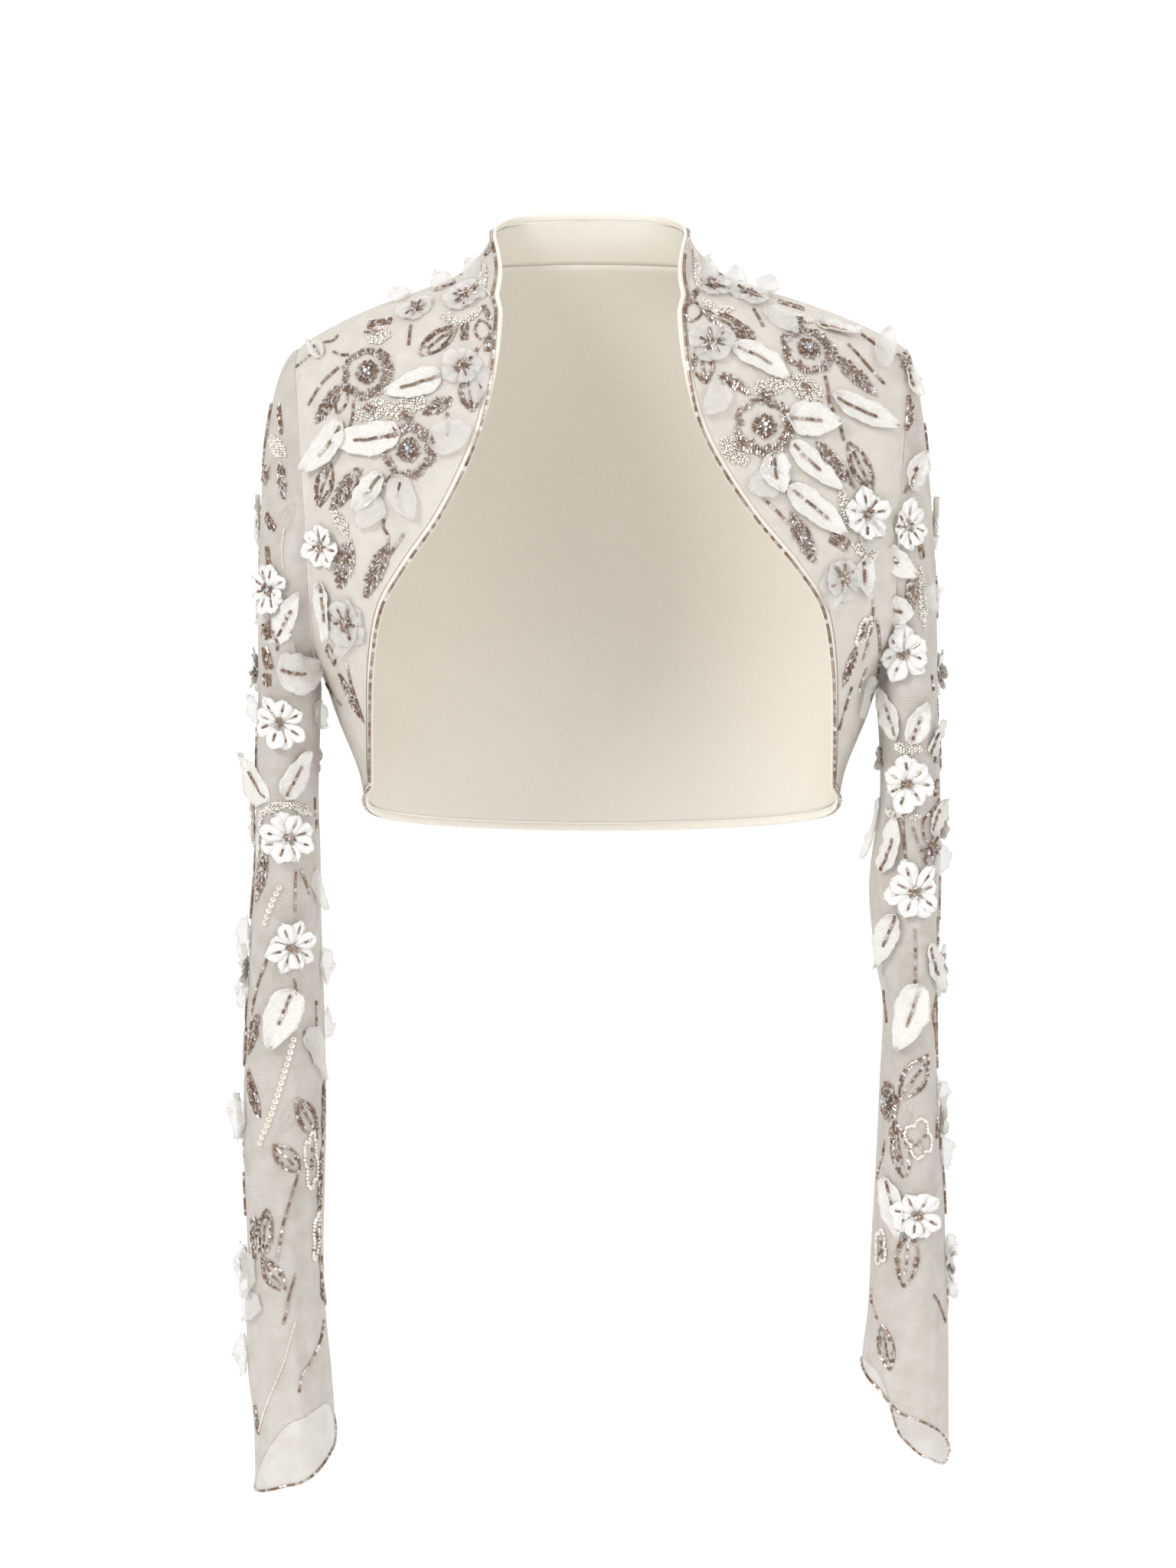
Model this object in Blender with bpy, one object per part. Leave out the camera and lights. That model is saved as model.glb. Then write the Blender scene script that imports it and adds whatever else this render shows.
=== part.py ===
"""Bolero jacket of beaded ivory net, hollow and open, in the pose that it is worn in.

Metres, +Z up, the front faces -Y and the wearer's left is +X. The origin is the point midway
between the shoulders at the base of the neck, which is where the wearer holds the jacket up.
The tables below are in millimetres.
"""

import math
from typing import NamedTuple

import bmesh
import bpy
from mathutils import Vector
from mathutils.bvhtree import BVHTree

MM = 0.001
BODY_CLOTH = 1.5
SLEEVE_CLOTH = 1.2
SEAM_GAP = 0.3
ARMHOLE_GAP = 0.45
BINDING_GAP = 0.45
NECK_TOP_Z = 5.0
NECK_LEAN = -8.0
LEAN_TOP, LEAN_END = -60.0, -200.0
SHOULDER_TIP_Z = -41.0
ARMPIT_Z = -232.0
SIDE_HEM_Z = -311.0
BACK_HEM_DROP = 34.0
BACK_HEM_FLATNESS = 0.7
BINDING_WIDTH = 5.0
BINDING_THICKNESS = 2.2
SIDES = {"left": 1.0, "right": -1.0}


class Section(NamedTuple):
    """One level of the general figure that the cut allows for."""

    z: float
    half_width: float
    front: float
    back: float


FIGURE = (
    Section(z=40, half_width=56, front=46, back=58),
    Section(z=5, half_width=77, front=48, back=60),
    Section(z=-5, half_width=100, front=54, back=66),
    Section(z=-16, half_width=132, front=62, back=73),
    Section(z=-28, half_width=160, front=69, back=80),
    Section(z=-41, half_width=182, front=76, back=86),
    Section(z=-52, half_width=188, front=81, back=90),
    Section(z=-80, half_width=197, front=93, back=98),
    Section(z=-120, half_width=202, front=105, back=104),
    Section(z=-160, half_width=201, front=113, back=105),
    Section(z=-200, half_width=190, front=116, back=103),
    Section(z=-232, half_width=171, front=114, back=100),
    Section(z=-262, half_width=160, front=109, back=97),
    Section(z=-300, half_width=146, front=103, back=94),
    Section(z=-350, half_width=141, front=98, back=92),
)
FIGURE_ROUNDNESS = 2.2


class Armhole(NamedTuple):
    """How far out the armhole seam stands at one level."""

    z: float
    out: float


ARMHOLE = (
    Armhole(z=-41, out=182.0),
    Armhole(z=-52, out=182.5),
    Armhole(z=-80, out=180.0),
    Armhole(z=-120, out=177.0),
    Armhole(z=-160, out=175.0),
    Armhole(z=-200, out=174.0),
    Armhole(z=-220, out=172.5),
    Armhole(z=-232, out=171.0),
)


class Opening(NamedTuple):
    """How far the front opening's edge stands from the middle at one level."""

    z: float
    out: float


OPENING = (
    Opening(z=5, out=77.0),
    Opening(z=2, out=70.0),
    Opening(z=-2, out=62.0),
    Opening(z=-7, out=57.5),
    Opening(z=-16, out=56.5),
    Opening(z=-45, out=60.0),
    Opening(z=-76, out=68.0),
    Opening(z=-101, out=79.5),
    Opening(z=-129, out=96.5),
    Opening(z=-156, out=117.0),
    Opening(z=-182, out=132.5),
    Opening(z=-215, out=138.8),
    Opening(z=-253, out=140.5),
    Opening(z=-312, out=140.5),
)


class CollarTop(NamedTuple):
    """The collar's top edge, by the share of its seam from the middle of the back."""

    share: float
    x: float
    y: float
    z: float


COLLAR_TOP = (
    CollarTop(share=0.0, x=0, y=57, z=31),
    CollarTop(share=0.24, x=33, y=51, z=30.5),
    CollarTop(share=0.45, x=50, y=36, z=29.5),
    CollarTop(share=0.66, x=58, y=12, z=28),
    CollarTop(share=0.84, x=58.5, y=-7, z=26.5),
    CollarTop(share=1.0, x=57, y=-24, z=24),
)
COLLAR_BULGE = -2.5


class Ring(NamedTuple):
    """One level of a sleeve below the armhole."""

    z: float
    out: float
    half_width: float
    depth_middle: float
    half_depth: float


SLEEVE_RINGS = {
    "right": (
        Ring(z=-250, out=188.5, half_width=18.6, depth_middle=3, half_depth=57),
        Ring(z=-313, out=190.8, half_width=18.6, depth_middle=4, half_depth=54),
        Ring(z=-352, out=191.0, half_width=19.7, depth_middle=4, half_depth=52),
        Ring(z=-390, out=192.5, half_width=21.4, depth_middle=5, half_depth=50),
        Ring(z=-428, out=193.0, half_width=23.0, depth_middle=5, half_depth=47),
        Ring(z=-504, out=194.0, half_width=25.3, depth_middle=4, half_depth=42),
        Ring(z=-555, out=194.0, half_width=24.2, depth_middle=3, half_depth=40),
        Ring(z=-594, out=193.9, half_width=23.0, depth_middle=2, half_depth=38),
        Ring(z=-633, out=194.0, half_width=24.0, depth_middle=2, half_depth=38),
        Ring(z=-670, out=192.0, half_width=25.2, depth_middle=2, half_depth=40),
        Ring(z=-700, out=189.5, half_width=24.6, depth_middle=2, half_depth=42),
        Ring(z=-745, out=188.8, half_width=24.6, depth_middle=2, half_depth=43),
    ),
    "left": (
        Ring(z=-250, out=184.3, half_width=17.9, depth_middle=3, half_depth=57),
        Ring(z=-313, out=187.0, half_width=17.8, depth_middle=4, half_depth=54),
        Ring(z=-370, out=184.0, half_width=21.0, depth_middle=5, half_depth=51),
        Ring(z=-415, out=186.2, half_width=19.2, depth_middle=5, half_depth=48),
        Ring(z=-443, out=188.0, half_width=16.2, depth_middle=4, half_depth=47),
        Ring(z=-491, out=188.0, half_width=17.8, depth_middle=4, half_depth=43),
        Ring(z=-555, out=188.7, half_width=21.1, depth_middle=3, half_depth=40),
        Ring(z=-594, out=188.1, half_width=22.6, depth_middle=2, half_depth=38),
        Ring(z=-633, out=188.2, half_width=24.3, depth_middle=2, half_depth=38),
        Ring(z=-672, out=186.7, half_width=26.6, depth_middle=2, half_depth=40),
        Ring(z=-739, out=188.0, half_width=26.0, depth_middle=4, half_depth=43),
    ),
}
RING_SQUARENESS = 2.8
CAP_LIFT = {"right": 24.0, "left": 9.0}
CAP_LIFT_SHARE = 0.45
CAP_FALL_SHARE = 0.5
CAP_OUT_LEAST, CAP_OUT_MORE, CAP_DOWN = 0.15, 0.75, 0.45
CAP_EASE = 1.2
CAP_ROWS = 6
SLEEVE_ROWS = 15
SLEEVE_COLUMNS = 20


class Hem(NamedTuple):
    """How low the cuff's edge hangs at one angle: 0 outward, 90 front, 180 body side."""

    angle: float
    z: float


CUFF_HEMS = {
    "right": (
        Hem(angle=0, z=-745),
        Hem(angle=90, z=-733),
        Hem(angle=150, z=-718),
        Hem(angle=185, z=-714),
        Hem(angle=225, z=-702),
        Hem(angle=270, z=-715),
        Hem(angle=315, z=-733),
        Hem(angle=360, z=-745),
    ),
    "left": (
        Hem(angle=0, z=-725),
        Hem(angle=40, z=-706),
        Hem(angle=90, z=-690),
        Hem(angle=135, z=-673),
        Hem(angle=180, z=-667),
        Hem(angle=225, z=-675),
        Hem(angle=254, z=-692),
        Hem(angle=272, z=-730),
        Hem(angle=310, z=-740),
        Hem(angle=340, z=-737),
        Hem(angle=360, z=-725),
    ),
}


class Fold(NamedTuple):
    """A long soft fold: where it runs on a sleeve, and how far it stands out."""

    angle: float
    spread: float
    height: float
    top_z: float
    low_z: float


SLEEVE_FOLDS = {
    "right": (
        Fold(angle=62, spread=16, height=1.6, top_z=-70, low_z=-300),
        Fold(angle=112, spread=14, height=-2.6, top_z=-250, low_z=-420),
        Fold(angle=75, spread=18, height=1.8, top_z=-420, low_z=-640),
        Fold(angle=118, spread=16, height=-2.4, top_z=-500, low_z=-735),
        Fold(angle=250, spread=22, height=2.4, top_z=-120, low_z=-420),
        Fold(angle=300, spread=20, height=-2.2, top_z=-380, low_z=-700),
        Fold(angle=20, spread=18, height=-1.6, top_z=-300, low_z=-560),
    ),
    "left": (
        Fold(angle=58, spread=16, height=1.6, top_z=-70, low_z=-260),
        Fold(angle=108, spread=14, height=-2.2, top_z=-260, low_z=-440),
        Fold(angle=82, spread=15, height=2.6, top_z=-560, low_z=-745),
        Fold(angle=122, spread=15, height=-2.6, top_z=-560, low_z=-745),
        Fold(angle=246, spread=22, height=2.4, top_z=-130, low_z=-430),
        Fold(angle=300, spread=20, height=-2.2, top_z=-420, low_z=-720),
        Fold(angle=15, spread=18, height=-1.4, top_z=-330, low_z=-600),
    ),
}


class Motif(NamedTuple):
    """A raised flower or leaf, placed as it is seen from one side of the jacket.

    place is the distance from the jacket's middle, or from the shoulder line when it is
    seen from the outer side of a sleeve, and turn is the leaf's lean from upright.
    """

    panel: str
    kind: str
    seen_from: str
    place: float
    z: float
    reach: float
    turn: float = 0.0


MOTIFS = (
    Motif("front_right", "flower", "front", place=139, z=-50, reach=15),
    Motif("front_right", "flower", "front", place=113, z=-92, reach=15, turn=20),
    Motif("front_right", "leaf", "front", place=108, z=-54, reach=14, turn=62),
    Motif("front_right", "leaf", "front", place=139, z=-84, reach=14, turn=-70),
    Motif("front_right", "leaf", "front", place=160, z=-90, reach=12, turn=75),
    Motif("front_right", "leaf", "front", place=138, z=-119, reach=13, turn=-40),
    Motif("front_right", "flower", "front", place=157, z=-148, reach=12, turn=10),
    Motif("front_right", "leaf", "front", place=156, z=-188, reach=12, turn=15),
    Motif("front_left", "flower", "front", place=124, z=-38, reach=15, turn=15),
    Motif("front_left", "flower", "front", place=98, z=-78, reach=15),
    Motif("front_left", "leaf", "front", place=92, z=-42, reach=13, turn=-35),
    Motif("front_left", "leaf", "front", place=124, z=-76, reach=13, turn=55),
    Motif("front_left", "leaf", "front", place=154, z=-72, reach=13, turn=-20),
    Motif("front_left", "leaf", "front", place=124, z=-99, reach=12, turn=-50),
    Motif("front_left", "leaf", "front", place=127, z=-123, reach=12, turn=35),
    Motif("front_left", "flower", "front", place=155, z=-131, reach=13, turn=25),
    Motif("front_left", "leaf", "front", place=153, z=-168, reach=12, turn=-15),
    Motif("sleeve_right", "flower", "front", place=197, z=-176, reach=10),
    Motif("sleeve_right", "leaf", "front", place=187, z=-197, reach=12, turn=-40),
    Motif("sleeve_right", "flower", "front", place=192, z=-259, reach=13, turn=10),
    Motif("sleeve_right", "leaf", "front", place=200, z=-296, reach=12, turn=30),
    Motif("sleeve_right", "leaf", "front", place=185, z=-292, reach=12, turn=-30),
    Motif("sleeve_right", "flower", "front", place=188, z=-331, reach=15),
    Motif("sleeve_right", "flower", "front", place=188, z=-397, reach=13, turn=20),
    Motif("sleeve_right", "leaf", "front", place=193, z=-440, reach=14, turn=10),
    Motif("sleeve_right", "flower", "side", place=-10, z=-509, reach=12),
    Motif("sleeve_right", "flower", "side", place=-8, z=-611, reach=12, turn=15),
    Motif("sleeve_right", "leaf", "side", place=-8, z=-668, reach=13, turn=20),
    Motif("sleeve_left", "leaf", "front", place=190, z=-109, reach=13, turn=10),
    Motif("sleeve_left", "flower", "front", place=187, z=-212, reach=12, turn=15),
    Motif("sleeve_left", "leaf", "front", place=192, z=-258, reach=12, turn=-30),
    Motif("sleeve_left", "flower", "front", place=185, z=-296, reach=15, turn=10),
    Motif("sleeve_left", "leaf", "front", place=194, z=-326, reach=12, turn=40),
    Motif("sleeve_left", "flower", "front", place=186, z=-363, reach=15),
    Motif("sleeve_left", "leaf", "front", place=195, z=-408, reach=12, turn=-15),
    Motif("sleeve_left", "leaf", "front", place=187, z=-438, reach=13, turn=25),
    Motif("sleeve_left", "flower", "front", place=191, z=-516, reach=10, turn=15),
    Motif("sleeve_left", "flower", "front", place=192, z=-562, reach=13),
    Motif("sleeve_left", "flower", "side", place=-6, z=-180, reach=12),
    Motif("sleeve_left", "leaf", "side", place=-8, z=-590, reach=12, turn=-20),
)
BACK_MOTIFS = (
    Motif("back", "flower", "back", place=38, z=-44, reach=15),
    Motif("back", "flower", "back", place=112, z=-58, reach=15, turn=15),
    Motif("back", "leaf", "back", place=146, z=-70, reach=13, turn=-25),
    Motif("back", "leaf", "back", place=66, z=-84, reach=13, turn=-50),
    Motif("back", "leaf", "back", place=124, z=-108, reach=13, turn=60),
    Motif("back", "flower", "back", place=34, z=-132, reach=14, turn=10),
    Motif("back", "flower", "back", place=92, z=-146, reach=14),
    Motif("back", "leaf", "back", place=146, z=-142, reach=13, turn=15),
    Motif("back", "leaf", "back", place=62, z=-190, reach=13, turn=-20),
    Motif("back", "leaf", "back", place=124, z=-194, reach=13, turn=35),
    Motif("back", "flower", "back", place=92, z=-240, reach=14, turn=20),
)
SLEEVE_BACK_FIRST_Z = -112.0
SLEEVE_BACK_STEP = 92.0
SLEEVE_BACK_COUNT = 6
SLEEVE_BACK_REACH = {"flower": 13.0, "leaf": 12.0}
SLEEVE_BACK_PLACES = (5.0, -1.0, -7.0)
SLEEVE_BACK_LEANS = (25.0, -25.0, 25.0, 25.0)
BACK_MIRROR_DROP = 6.0
PETALS = 6
NOTCH_REACH = 0.7
LEAF_HALF_WIDTH = 0.42
LEAF_SHOULDER = 0.45
MOTIF_ROOT = 0.5
PETAL_HEIGHT = 2.2
MOTIF_HEIGHT = 1.2
VIEW_DISTANCE = 400.0


def clamp(value, low, high):
    return max(low, min(high, value))


def smooth_step(value):
    value = clamp(value, 0.0, 1.0)
    return value * value * (3.0 - 2.0 * value)


def read(table, key, column, at):
    """A column of a table at a place between its rows, along one smooth curve."""
    rows = sorted(table, key=lambda row: getattr(row, key))
    places = [getattr(row, key) for row in rows]
    values = [getattr(row, column) for row in rows]
    at = clamp(at, places[0], places[-1])
    last = len(rows) - 1
    i = next((k for k in range(last) if at <= places[k + 1]), last - 1)
    slopes = []
    for k in (i, i + 1):
        low, high = max(k - 1, 0), min(k + 1, last)
        slopes.append((values[high] - values[low]) / (places[high] - places[low]))
    span = places[i + 1] - places[i]
    t = (at - places[i]) / span
    return (
        (2 * t**3 - 3 * t**2 + 1) * values[i]
        + (t**3 - 2 * t**2 + t) * span * slopes[0]
        + (3 * t**2 - 2 * t**3) * values[i + 1]
        + (t**3 - t**2) * span * slopes[1]
    )


def settle(point):
    """The neck of the jacket hangs a little towards the wearer's right."""
    x, y, z = point
    high = smooth_step((z - LEAN_END) / (LEAN_TOP - LEAN_END))
    middle = max(0.0, 1.0 - (x / read(ARMHOLE, "z", "out", SHOULDER_TIP_Z)) ** 2)
    return Vector((x + NECK_LEAN * high * middle, y, z))


def figure_width(z):
    return read(FIGURE, "z", "half_width", z)


def figure_depth(x, z, side):
    """How far the figure's surface stands from the middle plane, front or back."""
    share = clamp(abs(x) / figure_width(z), 0.0, 1.0)
    depth = read(FIGURE, "z", side, z)
    return depth * (1.0 - share**FIGURE_ROUNDNESS) ** (1.0 / FIGURE_ROUNDNESS)


def panel_width(z):
    """The front and back panels end at the shoulder seam, the armhole or the side seam."""
    if ARMPIT_Z < z <= SHOULDER_TIP_Z:
        return read(ARMHOLE, "z", "out", z)
    return figure_width(z)


def front_point(side, x, z):
    y = -figure_depth(x, z, "front")
    return settle((SIDES[side] * x, min(y, -SEAM_GAP / 2), z))


def back_point(x, z):
    y = figure_depth(x, z, "back")
    return settle((x, max(y, SEAM_GAP / 2), z))


PANEL_LEVELS = (
    4, 2, -1, -5, -10, -17, -26, -35, -41, -46, -54, -66, -82, -100, -120,
    -140, -160, -180, -198, -214, -232, -246, -262, -280, -298,
)
NECK_LEVELS = 4
FRONT_COLUMNS = 9
BACK_COLUMNS = 18


def hem_share(z):
    """0 above the armpit and 1 at the hem: how much a level follows the hem's slope."""
    return smooth_step((ARMPIT_Z - z) / (ARMPIT_Z - PANEL_LEVELS[-1]))


def front_grid(side):
    """Rows from the shoulder to the hem, each from the opening's edge to the outer seam."""
    rows = []
    for level in PANEL_LEVELS:
        row = []
        for column in range(FRONT_COLUMNS + 1):
            u = column / FRONT_COLUMNS
            z = level + (SIDE_HEM_Z - PANEL_LEVELS[-1]) * u * hem_share(level)
            start = read(OPENING, "z", "out", z)
            end = panel_width(z)
            spread = (u + math.sin(u * math.pi / 2)) / 2
            row.append(front_point(side, start + (end - start) * spread, z))
        rows.append(row)
    return rows


def back_grid():
    """Rows from the neck to the hem, each from the right side to the left."""
    rows = []
    for level in (NECK_TOP_Z,) + PANEL_LEVELS[1:]:
        share = hem_share(level)
        row = []
        for column in range(BACK_COLUMNS + 1):
            turn = math.radians(-90 + 180 * column / BACK_COLUMNS)
            side_drop = (SIDE_HEM_Z - PANEL_LEVELS[-1]) * share
            middle_drop = BACK_HEM_DROP * share * max(math.cos(turn), 0.0) ** BACK_HEM_FLATNESS
            z = level + side_drop - middle_drop
            row.append(back_point(panel_width(z) * math.sin(turn), z))
        rows.append(row)
    return rows


COLLAR_ROWS = 4


def collar_grid(fronts, back):
    """Rows from the top edge to the seam, each from the right front end to the left."""
    right = [row[0] for row in fronts["right"][:NECK_LEVELS]]
    left = [row[0] for row in fronts["left"][:NECK_LEVELS]]
    seam = right[::-1] + back[0] + left
    lengths = [0.0]
    for before, after in zip(seam, seam[1:]):
        lengths.append(lengths[-1] + (after - before).length)
    rows = []
    for row in range(COLLAR_ROWS + 1):
        height = 1.0 - row / COLLAR_ROWS
        line = []
        for place, length in zip(seam, lengths):
            share = 2 * length / lengths[-1] - 1
            x, y, z = (read(COLLAR_TOP, "share", axis, abs(share)) for axis in "xyz")
            top = settle((math.copysign(x, share), y, z))
            point = (place + Vector((0.0, 0.0, SEAM_GAP))).lerp(top, height)
            outward = Vector((point.x, point.y, 0.0)).normalized()
            line.append(point + outward * COLLAR_BULGE * math.sin(math.pi * height))
        rows.append(line)
    return rows


def ring_point(side, z, angle):
    """A point of a sleeve below the armhole; the angle is 0 outward and 90 at the front."""
    rings = SLEEVE_RINGS[side]
    values = {c: read(rings, "z", c, z) for c in Ring._fields[1:]}
    power = 2.0 / RING_SQUARENESS
    across, along = math.cos(angle), math.sin(angle)
    x = values["out"] + values["half_width"] * math.copysign(abs(across) ** power, across)
    y = values["depth_middle"] - values["half_depth"] * math.copysign(abs(along) ** power, along)
    return Vector((x, y, z))


def armhole_point(angle):
    """A point of the armhole seam on the wearer's left; 0 is the shoulder, 90 the front."""
    middle = (SHOULDER_TIP_Z + ARMPIT_Z) / 2
    z = middle + (SHOULDER_TIP_Z - middle) * math.cos(angle)
    x = read(ARMHOLE, "z", "out", z)
    if math.sin(angle) >= 0:
        y = -figure_depth(x, z, "front")
    else:
        y = figure_depth(x, z, "back")
    return Vector((x + ARMHOLE_GAP, y, z))


def fold_height(side, angle, z):
    """How far the folds move the cloth out at this angle and level."""
    total = 0.0
    for fold in SLEEVE_FOLDS[side]:
        off = (math.degrees(angle) - fold.angle + 180) % 360 - 180
        middle, reach = (fold.top_z + fold.low_z) / 2, (fold.top_z - fold.low_z) / 2
        along = smooth_step(1.5 * (1.0 - abs(z - middle) / reach))
        total += fold.height * math.exp(-((off / fold.spread) ** 2)) * along
    return total


def sleeve_point(side, angle, row):
    """Rows 0 to CAP_ROWS run from the armhole to the first ring, the rest to the cuff."""
    top_z = SLEEVE_RINGS[side][0].z
    if row <= CAP_ROWS:
        t = (row / CAP_ROWS) ** CAP_EASE
        start = armhole_point(angle)
        end = ring_point(side, top_z, angle)
        reach = (end - start).length
        fullness = max(math.cos(angle), abs(math.sin(angle)))
        leave = Vector((CAP_OUT_LEAST + CAP_OUT_MORE * fullness, 0.0, -CAP_DOWN)).normalized()
        first = start + leave * min(CAP_LIFT[side], CAP_LIFT_SHARE * reach)
        second = end + Vector((0.0, 0.0, CAP_FALL_SHARE * reach))
        point = (
            start * (1 - t) ** 3
            + first * 3 * t * (1 - t) ** 2
            + second * 3 * t**2 * (1 - t)
            + end * t**3
        )
    else:
        share = (row - CAP_ROWS) / SLEEVE_ROWS
        hem_z = read(CUFF_HEMS[side], "angle", "z", math.degrees(angle) % 360)
        z = top_z + (hem_z - top_z) * share
        point = ring_point(side, z, angle)
    middle = Vector((read(SLEEVE_RINGS[side], "z", "out", point.z), 0.0, point.z))
    outward = point - middle
    outward.z = 0.0
    clear_of_seam = smooth_step(row / CAP_ROWS)
    point += outward.normalized() * fold_height(side, angle, point.z) * clear_of_seam
    point.x *= SIDES[side]
    return point


def sleeve_grid(side):
    """Rows of closed rings from the armhole to the cuff."""
    turns = [2 * math.pi * i / SLEEVE_COLUMNS for i in range(SLEEVE_COLUMNS)]
    rows = range(CAP_ROWS + SLEEVE_ROWS + 1)
    return [[sleeve_point(side, turn, row) for turn in turns] for row in rows]


def grid_normals(grid, ring):
    """The outward normal at each point of a grid, from its neighbours."""
    rows, columns = len(grid), len(grid[0])
    normals = []
    for i in range(rows):
        line = []
        for j in range(columns):
            up, down = grid[max(i - 1, 0)][j], grid[min(i + 1, rows - 1)][j]
            if ring:
                back, ahead = grid[i][j - 1], grid[i][(j + 1) % columns]
            else:
                back, ahead = grid[i][max(j - 1, 0)], grid[i][min(j + 1, columns - 1)]
            line.append((down - up).cross(ahead - back).normalized())
        normals.append(line)
    return normals


def add_wall(name, grid, cloth, material, ring=False, seam_columns=(), seam_row=None):
    """A cloth wall whose outer face is the grid, closed round its edges.

    seam_columns are the columns on the shoulder and side seams, and seam_row is the row on
    the neck seam. There the normal keeps to the seam's plane, so that the edges stay a seam
    gap apart. A sleeve's first row is its armhole, where the wall doesn't reach in over the
    panels.
    """
    normals = grid_normals(grid, ring)
    heart = sum((p for line in grid for p in line), Vector()) / sum(len(line) for line in grid)
    facing = sum(
        normals[i][j].dot(grid[i][j] - heart) for i in range(len(grid)) for j in range(len(grid[0]))
    )
    turned = facing < 0
    shape = bmesh.new()
    outer, inner = [], []
    for i, line in enumerate(grid):
        outer.append([])
        inner.append([])
        for j, point in enumerate(line):
            normal = -normals[i][j] if turned else normals[i][j].copy()
            if j in seam_columns:
                normal.y = 0.0
            if i == seam_row:
                normal.z = 0.0
            if ring and i == 0 and normal.x * point.x > 0:
                normal.x = 0.0
            normal.normalize()
            outer[i].append(shape.verts.new(point * MM))
            inner[i].append(shape.verts.new((point - normal * cloth) * MM))
    rows, columns = len(grid), len(grid[0])
    steps = columns if ring else columns - 1
    for i in range(rows - 1):
        for j in range(steps):
            k = (j + 1) % columns
            corners = [outer[i][j], outer[i + 1][j], outer[i + 1][k], outer[i][k]]
            shape.faces.new(corners)
            corners = [inner[i][k], inner[i + 1][k], inner[i + 1][j], inner[i][j]]
            shape.faces.new(corners)
    for i in (0, rows - 1):
        for j in range(steps):
            k = (j + 1) % columns
            shape.faces.new([outer[i][j], outer[i][k], inner[i][k], inner[i][j]])
    if not ring:
        for j in (0, columns - 1):
            for i in range(rows - 1):
                shape.faces.new([outer[i][j], outer[i + 1][j], inner[i + 1][j], inner[i][j]])
    return finish_shape(name, shape, material)


def finish_shape(name, shape, material, group=None):
    """Triangles that all point outwards, in an object of their own."""
    bmesh.ops.triangulate(shape, faces=shape.faces)
    bmesh.ops.recalc_face_normals(shape, faces=shape.faces)
    mesh = bpy.data.meshes.new(name)
    shape.to_mesh(mesh)
    shape.free()
    mesh.materials.append(material)
    mesh.shade_smooth()
    made = bpy.data.objects.new(name, mesh)
    (group or bpy.context.scene.collection).objects.link(made)
    return made


def flower_plan(reach):
    """A flower's middle and the tips and notches of its petals, as (across, up, height)."""
    outline = []
    for petal in range(PETALS):
        turn = 2 * math.pi * petal / PETALS
        notch = turn + math.pi / PETALS
        near = NOTCH_REACH * reach
        outline.append((reach * math.cos(turn), reach * math.sin(turn), PETAL_HEIGHT))
        outline.append((near * math.cos(notch), near * math.sin(notch), MOTIF_HEIGHT))
    return [(0.0, 0.0, MOTIF_HEIGHT)] + outline


def leaf_plan(reach):
    """A leaf's raised middle and its pointed outline, as (across, up, height)."""
    wide = LEAF_HALF_WIDTH * reach
    half = LEAF_SHOULDER * reach
    outline = [(0.0, -reach), (wide, -half), (wide, half), (0.0, reach), (-wide, half), (-wide, -half)]
    return [(0.0, 0.0, PETAL_HEIGHT)] + [(x, y, MOTIF_HEIGHT) for x, y in outline]


def surface_tree(grid, ring):
    """The outer faces of a wall, to look up its points in."""
    columns = len(grid[0])
    points = [point for line in grid for point in line]
    faces = []
    for i in range(len(grid) - 1):
        for j in range(columns if ring else columns - 1):
            k = (j + 1) % columns
            faces.append((i * columns + j, (i + 1) * columns + j, (i + 1) * columns + k))
            faces.append((i * columns + j, (i + 1) * columns + k, i * columns + k))
    return BVHTree.FromPolygons(points, faces)


def motif_ray(motif):
    """Where a motif is seen from, and the way of looking."""
    sign = -1.0 if motif.panel.endswith("right") else 1.0
    if motif.seen_from == "side":
        return Vector((sign * VIEW_DISTANCE, motif.place, motif.z)), Vector((-sign, 0.0, 0.0))
    way = 1.0 if motif.seen_from == "front" else -1.0
    origin = Vector((sign * motif.place, -way * VIEW_DISTANCE, motif.z))
    return origin, Vector((0.0, way, 0.0))


def add_motif(name, motif, tree, group, material):
    """A closed flower or leaf made from the wall's own points, moved out."""
    origin, looking = motif_ray(motif)
    centre, normal, _, _ = tree.ray_cast(origin, looking)
    if normal.dot(looking) > 0:
        normal = -normal
    across = Vector((0.0, 0.0, 1.0)).cross(normal).normalized()
    upward = normal.cross(across)
    lean = math.radians(motif.turn)
    points = (flower_plan if motif.kind == "flower" else leaf_plan)(motif.reach)
    shape = bmesh.new()
    top, root = [], []
    for x, y, height in points:
        flat = centre + across * (x * math.cos(lean) + y * math.sin(lean))
        flat += upward * (y * math.cos(lean) - x * math.sin(lean))
        place, facing, _, _ = tree.find_nearest(flat)
        if facing.dot(normal) < 0:
            facing = -facing
        top.append(shape.verts.new((place + facing * height) * MM))
        root.append(shape.verts.new((place - facing * MOTIF_ROOT) * MM))
    for here in range(1, len(points)):
        after = here % (len(points) - 1) + 1
        shape.faces.new([top[0], top[here], top[after]])
        shape.faces.new([root[0], root[after], root[here]])
        shape.faces.new([top[here], root[here], root[after], top[after]])
    made = finish_shape(name, shape, material, group)
    made.hide_render = True
    made.display_type = "WIRE"


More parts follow.
